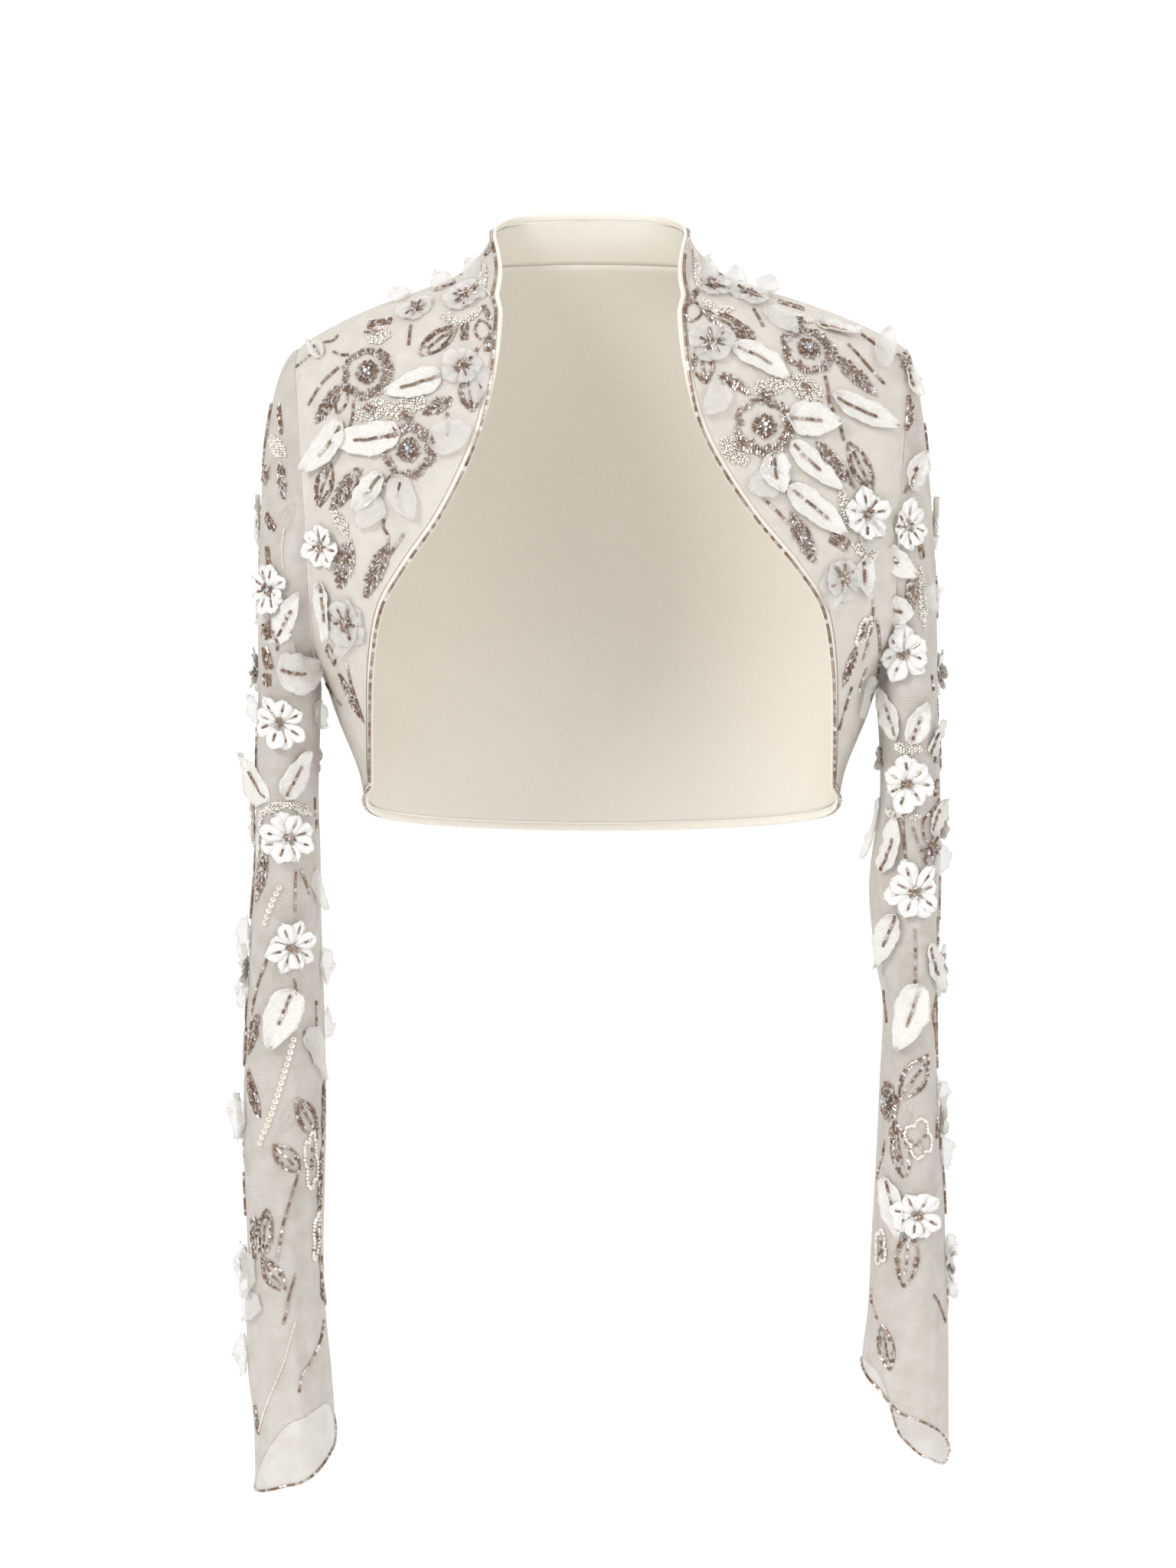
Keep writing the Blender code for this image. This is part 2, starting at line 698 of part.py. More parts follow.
def sleeve_back_motifs(panel):
    """Flowers and leaves by turns down the back of a sleeve."""
    side = panel.split("_")[1]
    motifs = []
    for number in range(SLEEVE_BACK_COUNT):
        z = SLEEVE_BACK_FIRST_Z - SLEEVE_BACK_STEP * number
        middle = read(SLEEVE_RINGS[side], "z", "out", z)
        kind = "leaf" if number % 2 else "flower"
        place = middle + SLEEVE_BACK_PLACES[number % len(SLEEVE_BACK_PLACES)]
        lean = SLEEVE_BACK_LEANS[number % len(SLEEVE_BACK_LEANS)]
        motifs.append(Motif(panel, kind, "back", place, z, SLEEVE_BACK_REACH[kind], lean))
    return motifs


def mirrored(motif):
    """The same motif on the other half of the back."""
    return motif._replace(place=-motif.place, z=motif.z - BACK_MIRROR_DROP, turn=-motif.turn)


def raise_motifs(wall, grid, motifs, ring, material):
    """Joins the motifs to the outer side of a wall, whose inner side stays plain."""
    group = bpy.data.collections.new(f"{wall.name}_motifs")
    bpy.context.scene.collection.children.link(group)
    tree = surface_tree(grid, ring)
    for number, motif in enumerate(motifs):
        add_motif(f"{wall.name}_{motif.kind}_{number}", motif, tree, group, material)
    union = wall.modifiers.new("Applique", "BOOLEAN")
    union.operation = "UNION"
    union.operand_type = "COLLECTION"
    union.collection = group
    union.solver = "EXACT"
    wall.modifiers.new("Triangles", "TRIANGULATE")


def opening_edge(front, back, collar):
    """The opening's edge as one closed loop of (place, inward neighbour, normal)."""
    half = BACK_COLUMNS // 2
    collar_half = len(collar[0]) // 2
    last = len(PANEL_LEVELS) - 1
    back_normals = grid_normals(back, False)
    collar_normals = grid_normals(collar, False)
    sides = []
    for side in ("left", "right"):
        grid = front[side]
        normals = grid_normals(grid, False)
        way = 1 if side == "left" else -1
        part = []
        for step in range(half):
            j = half + way * step
            part.append((back[last][j], back[last - 1][j], back_normals[last][j]))
        for j in range(FRONT_COLUMNS - 3, -1, -3):
            part.append((grid[last][j], grid[last - 1][j], normals[last][j]))
        for i in range(last - 1, NECK_LEVELS - 1, -1):
            part.append((grid[i][0], grid[i][1], normals[i][0]))
        end = 2 * collar_half if side == "left" else 0
        for i in range(COLLAR_ROWS, -1, -1):
            part.append((collar[i][end], collar[i][end - way], collar_normals[i][end]))
        for step in range(1, collar_half):
            j = end - way * step
            part.append((collar[0][j], collar[1][j], collar_normals[0][j]))
        sides.append(part)
    top = (collar[0][collar_half], collar[1][collar_half], collar_normals[0][collar_half])
    return sides[0] + [top] + sides[1][:0:-1]


SHARPEST_MITRE = 0.7
BINDING_OUTLINE = ((1.0, -0.5), (1.0, 0.5), (0.0, 1.0), (-1.0, 0.0), (0.0, -1.0))


def add_binding(name, loop, material):
    """A narrow rolled band that finishes the edge, a seam gap beyond it."""
    count = len(loop)
    reach = BINDING_WIDTH / 2 + BINDING_GAP
    frames = []
    for k, (place, neighbour, normal) in enumerate(loop):
        before = (place - loop[k - 1][0]).normalized()
        after = (loop[(k + 1) % count][0] - place).normalized()
        corner = max((before + after).length / 2, SHARPEST_MITRE)
        out = (before + after).cross(normal).normalized()
        if out.dot(place - neighbour) < 0:
            out = -out
        outward = normal if normal.dot(place - Vector((0, 0, place.z))) > 0 else -normal
        middle = place + out * reach / corner - outward * BODY_CLOTH / 2
        frames.append((middle, out, outward))
    shape = bmesh.new()
    rings = []
    for middle, out, outward in frames:
        ring = []
        for wide, thick in BINDING_OUTLINE:
            offset = out * wide * BINDING_WIDTH / 2 + outward * thick * BINDING_THICKNESS / 2
            ring.append(shape.verts.new((middle + offset) * MM))
        rings.append(ring)
    for k in range(count):
        ring, ahead = rings[k], rings[(k + 1) % count]
        for j in range(len(BINDING_OUTLINE)):
            n = (j + 1) % len(BINDING_OUTLINE)
            shape.faces.new([ring[j], ring[n], ahead[n], ahead[j]])
    return finish_shape(name, shape, material)


def add_material(name, colour, roughness):
    material = bpy.data.materials.new(name)
    material.use_nodes = True
    shader = material.node_tree.nodes["Principled BSDF"]
    shader.inputs["Base Color"].default_value = (*colour, 1.0)
    shader.inputs["Roughness"].default_value = roughness
    shader.inputs["Metallic"].default_value = 0.0
    return material


def main():
    for old in list(bpy.data.objects):
        bpy.data.objects.remove(old)
    lined_net = add_material("lined_net", (0.83, 0.80, 0.71), 0.75)
    sheer_net = add_material("sheer_net", (0.76, 0.73, 0.66), 0.8)
    binding_satin = add_material("binding_satin", (0.87, 0.84, 0.75), 0.5)
    applique_satin = add_material("applique_satin", (0.90, 0.89, 0.86), 0.5)
    fronts = {side: front_grid(side) for side in SIDES}
    back = back_grid()
    collar = collar_grid(fronts, back)
    for side, grid in fronts.items():
        name = f"front_{side}"
        wall = add_wall(name, grid, BODY_CLOTH, lined_net, seam_columns=(FRONT_COLUMNS,))
        motifs = [motif for motif in MOTIFS if motif.panel == name]
        raise_motifs(wall, grid, motifs, False, applique_satin)
    wall = add_wall("back", back, BODY_CLOTH, lined_net, seam_columns=(0, BACK_COLUMNS))
    motifs = list(BACK_MOTIFS) + [mirrored(motif) for motif in BACK_MOTIFS]
    raise_motifs(wall, back, motifs, False, applique_satin)
    add_wall("collar", collar, BODY_CLOTH, lined_net, seam_row=COLLAR_ROWS)
    for side in SIDES:
        name = f"sleeve_{side}"
        grid = sleeve_grid(side)
        wall = add_wall(name, grid, SLEEVE_CLOTH, sheer_net, ring=True)
        motifs = [motif for motif in MOTIFS if motif.panel == name] + sleeve_back_motifs(name)
        raise_motifs(wall, grid, motifs, True, applique_satin)
    add_binding("edge_binding", opening_edge(fronts, back, collar), binding_satin)


main()
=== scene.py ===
"""Cropped jacket of beaded ivory net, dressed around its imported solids.

Lengths are in millimetres unless a name says otherwise, on the solids' own axes: +Z up, the front
faces -Y and the wearer's left is +X. Meshes are turned to metres when they become pieces.
"""

from __future__ import annotations

import logging
import math
from collections.abc import Callable, Sequence
from dataclasses import dataclass
from enum import Enum

import bmesh
import bpy
import numpy as np
from mathutils import Matrix, Vector
from mathutils.bvhtree import BVHTree


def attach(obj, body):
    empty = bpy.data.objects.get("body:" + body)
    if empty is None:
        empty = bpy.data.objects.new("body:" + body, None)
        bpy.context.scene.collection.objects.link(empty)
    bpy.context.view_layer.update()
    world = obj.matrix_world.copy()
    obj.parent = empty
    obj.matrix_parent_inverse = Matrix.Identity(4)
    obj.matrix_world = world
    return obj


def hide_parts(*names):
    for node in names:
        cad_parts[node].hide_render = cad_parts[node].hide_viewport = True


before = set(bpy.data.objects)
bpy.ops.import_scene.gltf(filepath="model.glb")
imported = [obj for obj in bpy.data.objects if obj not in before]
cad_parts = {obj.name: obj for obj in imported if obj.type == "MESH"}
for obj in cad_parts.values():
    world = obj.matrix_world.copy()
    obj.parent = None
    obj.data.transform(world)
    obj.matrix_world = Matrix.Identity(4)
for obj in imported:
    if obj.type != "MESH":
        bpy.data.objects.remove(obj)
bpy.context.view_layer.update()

Array = np.ndarray
Spot = tuple[float, float]
MM = 0.001
LOG = logging.getLogger("jacket")
DRAW_SEED = 11
# Every random draw is taken from here, so each run makes the same jacket.
DRAW = np.random.default_rng(DRAW_SEED)


class Side(Enum):
    """The wearer's left, towards +X, or right."""

    LEFT = 1.0
    RIGHT = -1.0


class Seen(Enum):
    """Which way a hidden trimming is looked at: from the back or from the outer side."""

    BACK = "back"
    SIDE = "side"


class Sewn(Enum):
    """The kinds of trimming that are sewn to the net."""

    SATIN_FLOWER = "satin flower"
    ORGANZA_FLOWER = "organza flower"
    ROSETTE = "rosette"
    CLOTH_LEAF = "cloth leaf"
    ORGANZA_LEAF = "organza leaf"
    FILLED_LEAF = "filled leaf"
    OPEN_LEAF = "open leaf"
    LOOP = "loop"
    STAR = "star"
    BAR = "bar"
    PEARL_BAR = "short block of beads on pearls"
    PEARLS = "pearls"
    PEARL_LOOP = "pearl loop"


class Line(Enum):
    """The kinds of trimming that run along a drawn line."""

    STEM = "stem"
    DASHES = "dashes"
    SEQUINS = "sequins"
    SEEDS = "seeds"


class Profile:
    """A measure that runs smoothly through the values at its own places."""

    def __init__(self, places: Sequence[float], values: Sequence[float]) -> None:
        """Sorts the places and works out a slope at each.

        Args:
            places: where the measure is known.
            values: what it is there.
        """
        order = np.argsort(places)
        self.places = np.asarray(places, float)[order]
        self.values = np.asarray(values, float)[order]
        last = len(order) - 1
        low = np.maximum(np.arange(last + 1) - 1, 0)
        high = np.minimum(np.arange(last + 1) + 1, last)
        rise = self.values[high] - self.values[low]
        self.slopes = rise / (self.places[high] - self.places[low])

    def at(self, place: Array | float) -> Array:
        """The measure at a place.

        Args:
            place: one place or many.

        Returns:
            The measure at each of them.
        """
        place = np.clip(place, self.places[0], self.places[-1])
        i = np.clip(np.searchsorted(self.places, place) - 1, 0, len(self.places) - 2)
        span = self.places[i + 1] - self.places[i]
        t = (place - self.places[i]) / span
        return (
            (2 * t**3 - 3 * t**2 + 1) * self.values[i]
            + (t**3 - 2 * t**2 + t) * span * self.slopes[i]
            + (3 * t**2 - 2 * t**3) * self.values[i + 1]
            + (t**3 - t**2) * span * self.slopes[i + 1]
        )


def smooth_step(value: Array | float) -> Array:
    """Runs from 0 to 1 with soft ends."""
    value = np.clip(value, 0.0, 1.0)
    return value * value * (3.0 - 2.0 * value)


def unit_rows(rows: Array) -> Array:
    """Each row at a length of one."""
    return rows / np.linalg.norm(rows, axis=1)[:, None]


def run_along(route: Array) -> Array:
    """How far along a route each of its points lies."""
    return np.concatenate([[0], np.cumsum(np.linalg.norm(np.diff(route, axis=0), axis=1))])


def polar(out: float, degrees: float) -> Spot:
    """Across and along for a place so far out from a middle, clockwise from straight along."""
    turn = math.radians(degrees)
    return out * math.sin(turn), out * math.cos(turn)


def tube_size(length: float, width: float) -> tuple[float, float, float]:
    """The half sizes of a tube bead."""
    return width / 2, length / 2, width / 2


def jitter(spread: float) -> float:
    """A small random step either way."""
    return DRAW.normal(0, spread)


def draw_tone(bright: float, dark: float) -> float:
    """A random tone from 0, dark, to 1, bright."""
    return float(DRAW.beta(bright, dark))


def add_object(name: str, data: bpy.types.ID) -> bpy.types.Object:
    """Puts a new object into the scene."""
    made = bpy.data.objects.new(name, data)
    bpy.context.scene.collection.objects.link(made)
    return made


@dataclass(frozen=True)
class Crease:
    """A soft trough or ridge in a body panel, from one place to another as seen from outside."""

    x: float
    z: float
    end_x: float
    end_z: float
    spread: float
    height: float
    end_share: float = 0.02
    end_softness: float = 0.6

    def lift(self, points: Array) -> Array:
        """How far the crease moves each point out of the panel.

        Args:
            points: places on the panel.

        Returns:
            One height for each point.
        """
        start = np.array([self.x, self.z])
        way = np.array([self.end_x, self.end_z]) - start
        off = points[:, (0, 2)] - start
        share = np.clip(off @ way / (way @ way), 0.0, 1.0)
        gap = np.linalg.norm(off - share[:, None] * way, axis=1)
        share = np.clip(share, self.end_share, 1 - self.end_share)
        ends = np.sin(math.pi * share) ** self.end_softness
        return self.height * np.exp(-((gap / self.spread) ** 2)) * ends


@dataclass(frozen=True)
class Fold:
    """A long soft fold down a sleeve. It turns by drift degrees from its top to its low end."""

    angle: float
    spread: float
    height: float
    top_z: float
    low_z: float
    drift: float = 0.0
    fade: float = 1.5

    def lift(self, degrees: Array, z: Array) -> Array:
        """How far the fold moves the net out.

        Args:
            degrees: round the sleeve, 0 outward and 90 at the front.
            z: level of each point.

        Returns:
            One height for each point.
        """
        down = (self.top_z - z) / (self.top_z - self.low_z)
        off = (degrees - self.angle - self.drift * down + 180) % 360 - 180
        along = smooth_step(self.fade * (1.0 - np.abs(2 * down - 1)))
        return self.height * np.exp(-((off / self.spread) ** 2)) * along


FIGURE_LEVELS = (40, 5, -5, -16, -28, -41, -52, -80, -120, -160, -200, -232, -262, -300, -350)
OPENING_LEVELS = (5, 2, -2, -7, -16, -45, -76, -101, -129, -156, -182, -215, -253, -312)
COLLAR_SHARES = (0.0, 0.24, 0.45, 0.66, 0.84, 1.0)


@dataclass(frozen=True)
class BodyCut:
    """The body panels and the collar as smooth surfaces with the solids' own measures."""

    half_width: Profile = Profile(
        FIGURE_LEVELS, (56, 77, 100, 132, 160, 182, 188, 197, 202, 201, 190, 171, 160, 146, 141)
    )
    front_depth: Profile = Profile(
        FIGURE_LEVELS, (46, 48, 54, 62, 69, 76, 81, 93, 105, 113, 116, 114, 109, 103, 98)
    )
    back_depth: Profile = Profile(
        FIGURE_LEVELS, (58, 60, 66, 73, 80, 86, 90, 98, 104, 105, 103, 100, 97, 94, 92)
    )
    armhole: Profile = Profile(
        (-41, -52, -80, -120, -160, -200, -220, -232),
        (182, 182.5, 180, 177, 175, 174, 172.5, 171),
    )
    opening: Profile = Profile(
        OPENING_LEVELS,
        (77, 70, 62, 57.5, 56.5, 60, 68, 79.5, 96.5, 117, 132.5, 138.8, 140.5, 140.5),
    )
    collar_x: Profile = Profile(COLLAR_SHARES, (0, 33, 50, 58, 58.5, 57))
    collar_y: Profile = Profile(COLLAR_SHARES, (57, 51, 36, 12, -7, -24))
    collar_z: Profile = Profile(COLLAR_SHARES, (31, 30.5, 29.5, 28, 26.5, 24))
    collar_bulge: float = -2.5
    roundness: float = 2.2
    neck_top: float = 5.0
    front_top: float = 4.0
    collar_foot: float = -5.0
    shoulder_tip: float = -41.0
    armpit: float = -232.0
    hem_level: float = -298.0
    side_hem: float = -311.0
    back_hem_drop: float = 34.0
    back_hem_flatness: float = 0.7
    neck_lean: float = -8.0
    lean_top: float = -60.0
    lean_end: float = -200.0
    seam_gap: float = 0.3
    neck_front_points: int = 12
    neck_back_points: int = 60

    def settle(self, x: Array, y: Array, z: Array) -> Array:
        """Moves points as the neck hangs, a little towards the wearer's right.

        Args:
            x: across the figure.
            y: from front to back.
            z: up.

        Returns:
            The points as rows of x, y and z.
        """
        high = smooth_step((z - self.lean_end) / (self.lean_top - self.lean_end))
        middle = np.maximum(0.0, 1.0 - (x / self.armhole.at(self.shoulder_tip)) ** 2)
        return np.stack([x + self.neck_lean * high * middle, y, z], axis=-1)

    def depth(self, x: Array, z: Array, depths: Profile) -> Array:
        """How far the figure stands from its middle plane.

        Args:
            x: across the figure.
            z: up.
            depths: the front's or the back's depth.

        Returns:
            One depth for each point.
        """
        share = np.clip(np.abs(x) / self.half_width.at(z), 0.0, 1.0)
        return depths.at(z) * (1.0 - share**self.roundness) ** (1.0 / self.roundness)

    def panel_width(self, z: Array) -> Array:
        """Where the panels end: at the shoulder seam, the armhole or the side seam."""
        sewn = (z > self.armpit) & (z <= self.shoulder_tip)
        return np.where(sewn, self.armhole.at(z), self.half_width.at(z))

    def hem_share(self, z: Array) -> Array:
        """0 above the armpit and 1 at the hem: how much a level follows the hem's slope."""
        return smooth_step((self.armpit - z) / (self.armpit - self.hem_level))

    def front(self, side: Side, u: Array, v: Array) -> Array:
        """A front panel.

        Args:
            side: which of the two fronts.
            u: from the opening's edge at 0 to the outer seam at 1.
            v: from the shoulder at 0 to the hem at 1.

        Returns:
            One point for each pair.
        """
        level = self.front_top + (self.hem_level - self.front_top) * v
        z = level + (self.side_hem - self.hem_level) * u * self.hem_share(level)
        start, end = self.opening.at(z), self.panel_width(z)
        x = start + (end - start) * (u + np.sin(u * math.pi / 2)) / 2
        y = np.minimum(-self.depth(x, z, self.front_depth), -self.seam_gap / 2)
        return self.settle(side.value * x, y, z)

    def back(self, u: Array, v: Array) -> Array:
        """The back panel.

        Args:
            u: from the right side at 0 to the left at 1.
            v: from the neck at 0 to the hem at 1.

        Returns:
            One point for each pair.
        """
        level = self.neck_top + (self.hem_level - self.neck_top) * v
        share = self.hem_share(level)
        turn = math.pi * (u - 0.5)
        drop = self.back_hem_drop * np.maximum(np.cos(turn), 0.0) ** self.back_hem_flatness
        z = level + (self.side_hem - self.hem_level) * share - drop * share
        x = self.panel_width(z) * np.sin(turn)
        y = np.maximum(self.depth(x, z, self.back_depth), self.seam_gap / 2)
        return self.settle(x, y, z)

    def neck_seam(self, share: Array) -> Array:
        """The neck seam, at shares of its length.

        Args:
            share: from the right front end at 0 to the left at 1.

        Returns:
            One point for each share.
        """
        ahead, behind = self.neck_front_points, self.neck_back_points
        rise = np.linspace(self.collar_foot, self.front_top, ahead)
        down = (self.front_top - rise) / (self.front_top - self.hem_level)
        right = self.front(Side.RIGHT, np.zeros(ahead), down)
        left = self.front(Side.LEFT, np.zeros(ahead), down)[::-1]
        middle = self.back(np.linspace(0, 1, behind), np.zeros(behind))
        line = np.concatenate([right, middle, left])
        along = run_along(line)
        return np.stack([np.interp(share * along[-1], along, line[:, k]) for k in range(3)], axis=-1)

    def collar(self, u: Array, v: Array) -> Array:
        """The stand collar.

        Args:
            u: from the right front end at 0 to the left at 1.
            v: from the top edge at 0 to the seam at 1.

        Returns:
            One point for each pair.
        """
        share = 2 * u - 1
        size = np.abs(share)
        top = self.settle(
            np.copysign(self.collar_x.at(size), share), self.collar_y.at(size), self.collar_z.at(size)
        )
        foot = self.neck_seam(u) + np.array([0.0, 0.0, self.seam_gap])
        points = foot + (top - foot) * (1 - v)[:, None]
        outward = unit_rows(points * np.array([1.0, 1.0, 0.0]))
        return points + outward * (self.collar_bulge * np.sin(math.pi * (1 - v)))[:, None]


@dataclass(frozen=True)
class SleeveCut:
    """One long sleeve as a smooth surface with the solid's own measures."""

    side: Side
    levels: tuple[float, ...]
    out: tuple[float, ...]
    half_width: tuple[float, ...]
    depth_middle: tuple[float, ...]
    half_depth: tuple[float, ...]
    hem_angles: tuple[float, ...]
    hem_levels: tuple[float, ...]
    cap_lift: float
    folds: tuple[Fold, ...]
    squareness: float = 2.8
    cap_share: float = 0.27
    cap_lift_share: float = 0.45
    cap_fall_share: float = 0.5
    cap_out_least: float = 0.15
    cap_out_more: float = 0.75
    cap_down: float = 0.45
    cap_ease: float = 1.2
    armhole_gap: float = 0.45

    def ring(self, z: Array, angle: Array) -> Array:
        """Points of the sleeve below the armhole, on the wearer's left.

        Args:
            z: level of each point.
            angle: round the sleeve in radians, 0 outward and a right angle at the front.

        Returns:
            One point for each pair.
        """
        power = 2.0 / self.squareness
        across, along = np.cos(angle), np.sin(angle)
        read = {
            name: Profile(self.levels, getattr(self, name)).at(z)
            for name in ("out", "half_width", "depth_middle", "half_depth")
        }
        x = read["out"] + read["half_width"] * np.sign(across) * np.abs(across) ** power
        y = read["depth_middle"] - read["half_depth"] * np.sign(along) * np.abs(along) ** power
        return np.stack([x, y, z], axis=-1)

    def armhole(self, body: BodyCut, angle: Array) -> Array:
        """Points of the armhole seam on the wearer's left.

        Args:
            body: the body that the sleeve is sewn to.
            angle: round the armhole in radians, 0 at the shoulder.

        Returns:
            One point for each angle.
        """
        middle = (body.shoulder_tip + body.armpit) / 2
        z = middle + (body.shoulder_tip - middle) * np.cos(angle)
        x = body.armhole.at(z)
        front = -body.depth(x, z, body.front_depth)
        back = body.depth(x, z, body.back_depth)
        y = np.where(np.sin(angle) >= 0, front, back)
        return np.stack([x + self.armhole_gap, y, z], axis=-1)

    def place(self, body: BodyCut, u: Array, v: Array) -> Array:
        """The whole sleeve.

        Args:
            body: the body that the sleeve is sewn to.
            u: once round the sleeve, from outward over the front.
            v: from the armhole at 0 to the cuff at 1.

        Returns:
            One point for each pair.
        """
        angle = 2 * math.pi * u
        degrees = np.degrees(angle)
        t = (np.clip(v / self.cap_share, 0, 1) ** self.cap_ease)[:, None]
        top_z = np.full_like(u, max(self.levels))
        start, end = self.armhole(body, angle), self.ring(top_z, angle)
        reach = np.linalg.norm(end - start, axis=1)
        fullness = np.maximum(np.cos(angle), np.abs(np.sin(angle)))
        sideways = self.cap_out_least + self.cap_out_more * fullness
        leave = unit_rows(np.stack([sideways, 0 * u, 0 * u - self.cap_down], axis=-1))
        first = start + leave * np.minimum(self.cap_lift, self.cap_lift_share * reach)[:, None]
        second = end + np.outer(self.cap_fall_share * reach, [0.0, 0.0, 1.0])
        cap = start * (1 - t) ** 3 + first * 3 * t * (1 - t) ** 2
        cap += second * 3 * t**2 * (1 - t) + end * t**3
        share = (v - self.cap_share) / (1 - self.cap_share)
        hem = Profile(self.hem_angles, self.hem_levels).at(degrees % 360)
        arm = self.ring(top_z + (hem - top_z) * np.clip(share, 0, 1), angle)
        points = np.where((v <= self.cap_share)[:, None], cap, arm)
        z = points[:, 2]
        middle = np.stack([Profile(self.levels, self.out).at(z), 0 * z, z], axis=-1)
        outward = unit_rows(points - middle)
        lift = sum(fold.lift(degrees, z) for fold in self.folds)
        points = points + outward * (lift * smooth_step(v / self.cap_share))[:, None]
        return points * np.array([self.side.value, 1.0, 1.0])


# A fold's numbers are its angle, spread, height, top and low levels, and drift.
RIGHT_SLEEVE = SleeveCut(
    side=Side.RIGHT,
    levels=(-250, -313, -352, -390, -428, -504, -555, -594, -633, -670, -700, -745),
    out=(188.5, 190.8, 191, 192.5, 193, 194, 194, 193.9, 194, 192, 189.5, 188.8),
    half_width=(18.6, 18.6, 19.7, 21.4, 23, 25.3, 24.2, 23, 24, 25.2, 24.6, 24.6),
    depth_middle=(3, 4, 4, 5, 5, 4, 3, 2, 2, 2, 2, 2),
    half_depth=(57, 54, 52, 50, 47, 42, 40, 38, 38, 40, 42, 43),
    hem_angles=(0, 90, 150, 185, 225, 270, 315, 360),
    hem_levels=(-745, -733, -718, -714, -702, -715, -733, -745),
    cap_lift=24.0,
    folds=(
        Fold(62, 16, 1.6, -70, -300),
        Fold(112, 14, -2.6, -250, -420),
        Fold(75, 18, 1.8, -420, -640),
        Fold(118, 16, -2.4, -500, -735),
        Fold(250, 22, 2.4, -120, -420),
        Fold(300, 20, -2.2, -380, -700),
        Fold(20, 18, -1.6, -300, -560),
        Fold(122, 7, 1.8, -75, -215),
        Fold(104, 6, -1.4, -95, -255),
        Fold(95, 7, 1.5, -300, -470, 14),
        Fold(64, 8, -1.3, -520, -690, -12),
        Fold(98, 6, 1.6, -610, -735),
    ),
)
LEFT_SLEEVE = SleeveCut(
    side=Side.LEFT,
    levels=(-250, -313, -370, -415, -443, -491, -555, -594, -633, -672, -739),
    out=(184.3, 187, 184, 186.2, 188, 188, 188.7, 188.1, 188.2, 186.7, 188),
    half_width=(17.9, 17.8, 21, 19.2, 16.2, 17.8, 21.1, 22.6, 24.3, 26.6, 26),
    depth_middle=(3, 4, 5, 5, 4, 4, 3, 2, 2, 2, 4),
    half_depth=(57, 54, 51, 48, 47, 43, 40, 38, 38, 40, 43),
    hem_angles=(0, 40, 90, 135, 180, 225, 254, 272, 310, 340, 360),
    hem_levels=(-725, -706, -690, -673, -667, -675, -692, -730, -740, -737, -725),
    cap_lift=9.0,
    folds=(
        Fold(58, 16, 1.6, -70, -260),
        Fold(108, 14, -2.2, -260, -440),
        Fold(82, 15, 2.6, -560, -745),
        Fold(122, 15, -2.6, -560, -745),
        Fold(246, 22, 2.4, -130, -430),
        Fold(300, 20, -2.2, -420, -720),
        Fold(15, 18, -1.4, -330, -600),
        Fold(120, 7, 1.6, -80, -205),
        Fold(100, 7, -1.4, -100, -240),
        Fold(84, 7, 1.5, -330, -480, -12),
        Fold(60, 7, 1.5, -590, -735),
        Fold(104, 6, -1.8, -620, -738),
    ),
)


# A crease's numbers are where it starts and ends, each as x and z, its spread and its height.
BODY_CREASES = {
    "front_right": (
        Crease(-168, -90, -160, -150, 5, 1.1),
        Crease(-166, -205, -147, -262, 5, -1.0),
        Crease(-158, -222, -142, -292, 6, 1.2),
    ),
    "front_left": (
        Crease(167, -84, 158, -138, 5, 1.0),
        Crease(165, -200, 150, -250, 6, -0.9),
        Crease(160, -226, 144, -286, 5, 1.1),
    ),
    "back": (
        Crease(-150, -196, -96, -262, 7, 1.2),
        Crease(-128, -238, -84, -300, 6, -1.0),
        Crease(146, -190, 104, -250, 7, 1.1),
        Crease(120, -244, 70, -308, 6, -1.0),
        Crease(-20, -232, -28, -312, 8, 0.9),
    ),
}


def linear(hex_colour: str) -> tuple[float, float, float, float]:
    """Turns a colour as a screen shows it into the one that light is worked out with.

    Args:
        hex_colour: six hex digits.

    Returns:
        Red, green, blue and an alpha of one.
    """
    foot, slope, offset, power = 0.04045, 12.92, 0.055, 2.4
    parts = [int(hex_colour[k : k + 2], 16) / 255 for k in (0, 2, 4)]
    made = [c / slope if c <= foot else ((c + offset) / (1 + offset)) ** power for c in parts]
    return (*made, 1.0)


def add_node(
    tree: bpy.types.NodeTree,
    kind: str,
    settings: dict | None = None,
    values: dict | None = None,
    links: dict | None = None,
) -> bpy.types.Node:
    """Adds a node to a material.

    Args:
        tree: the material's nodes.
        kind: the node's type.
        settings: its own settings by name.
        values: what its unlinked sockets hold, by name or number.
        links: which output goes to which of its sockets.

    Returns:
        The new node.
    """
    node = tree.nodes.new(kind)
    for name, value in (settings or {}).items():
        setattr(node, name, value)
    for socket, value in (values or {}).items():
        node.inputs[socket].default_value = value
    for socket, source in (links or {}).items():
        tree.links.new(source, node.inputs[socket])
    return node


def set_stops(ramp: bpy.types.Node, stops: Sequence[tuple[float, str]]) -> None:
    """Gives a colour ramp its stops.

    Args:
        ramp: the ramp's node.
        stops: places from 0 to 1, and the colour at each.
    """
    elements = ramp.color_ramp.elements
    while len(elements) < len(stops):
        elements.new(0.5)
    for element, (position, colour) in zip(elements, stops):
        element.position = position
        element.color = linear(colour)


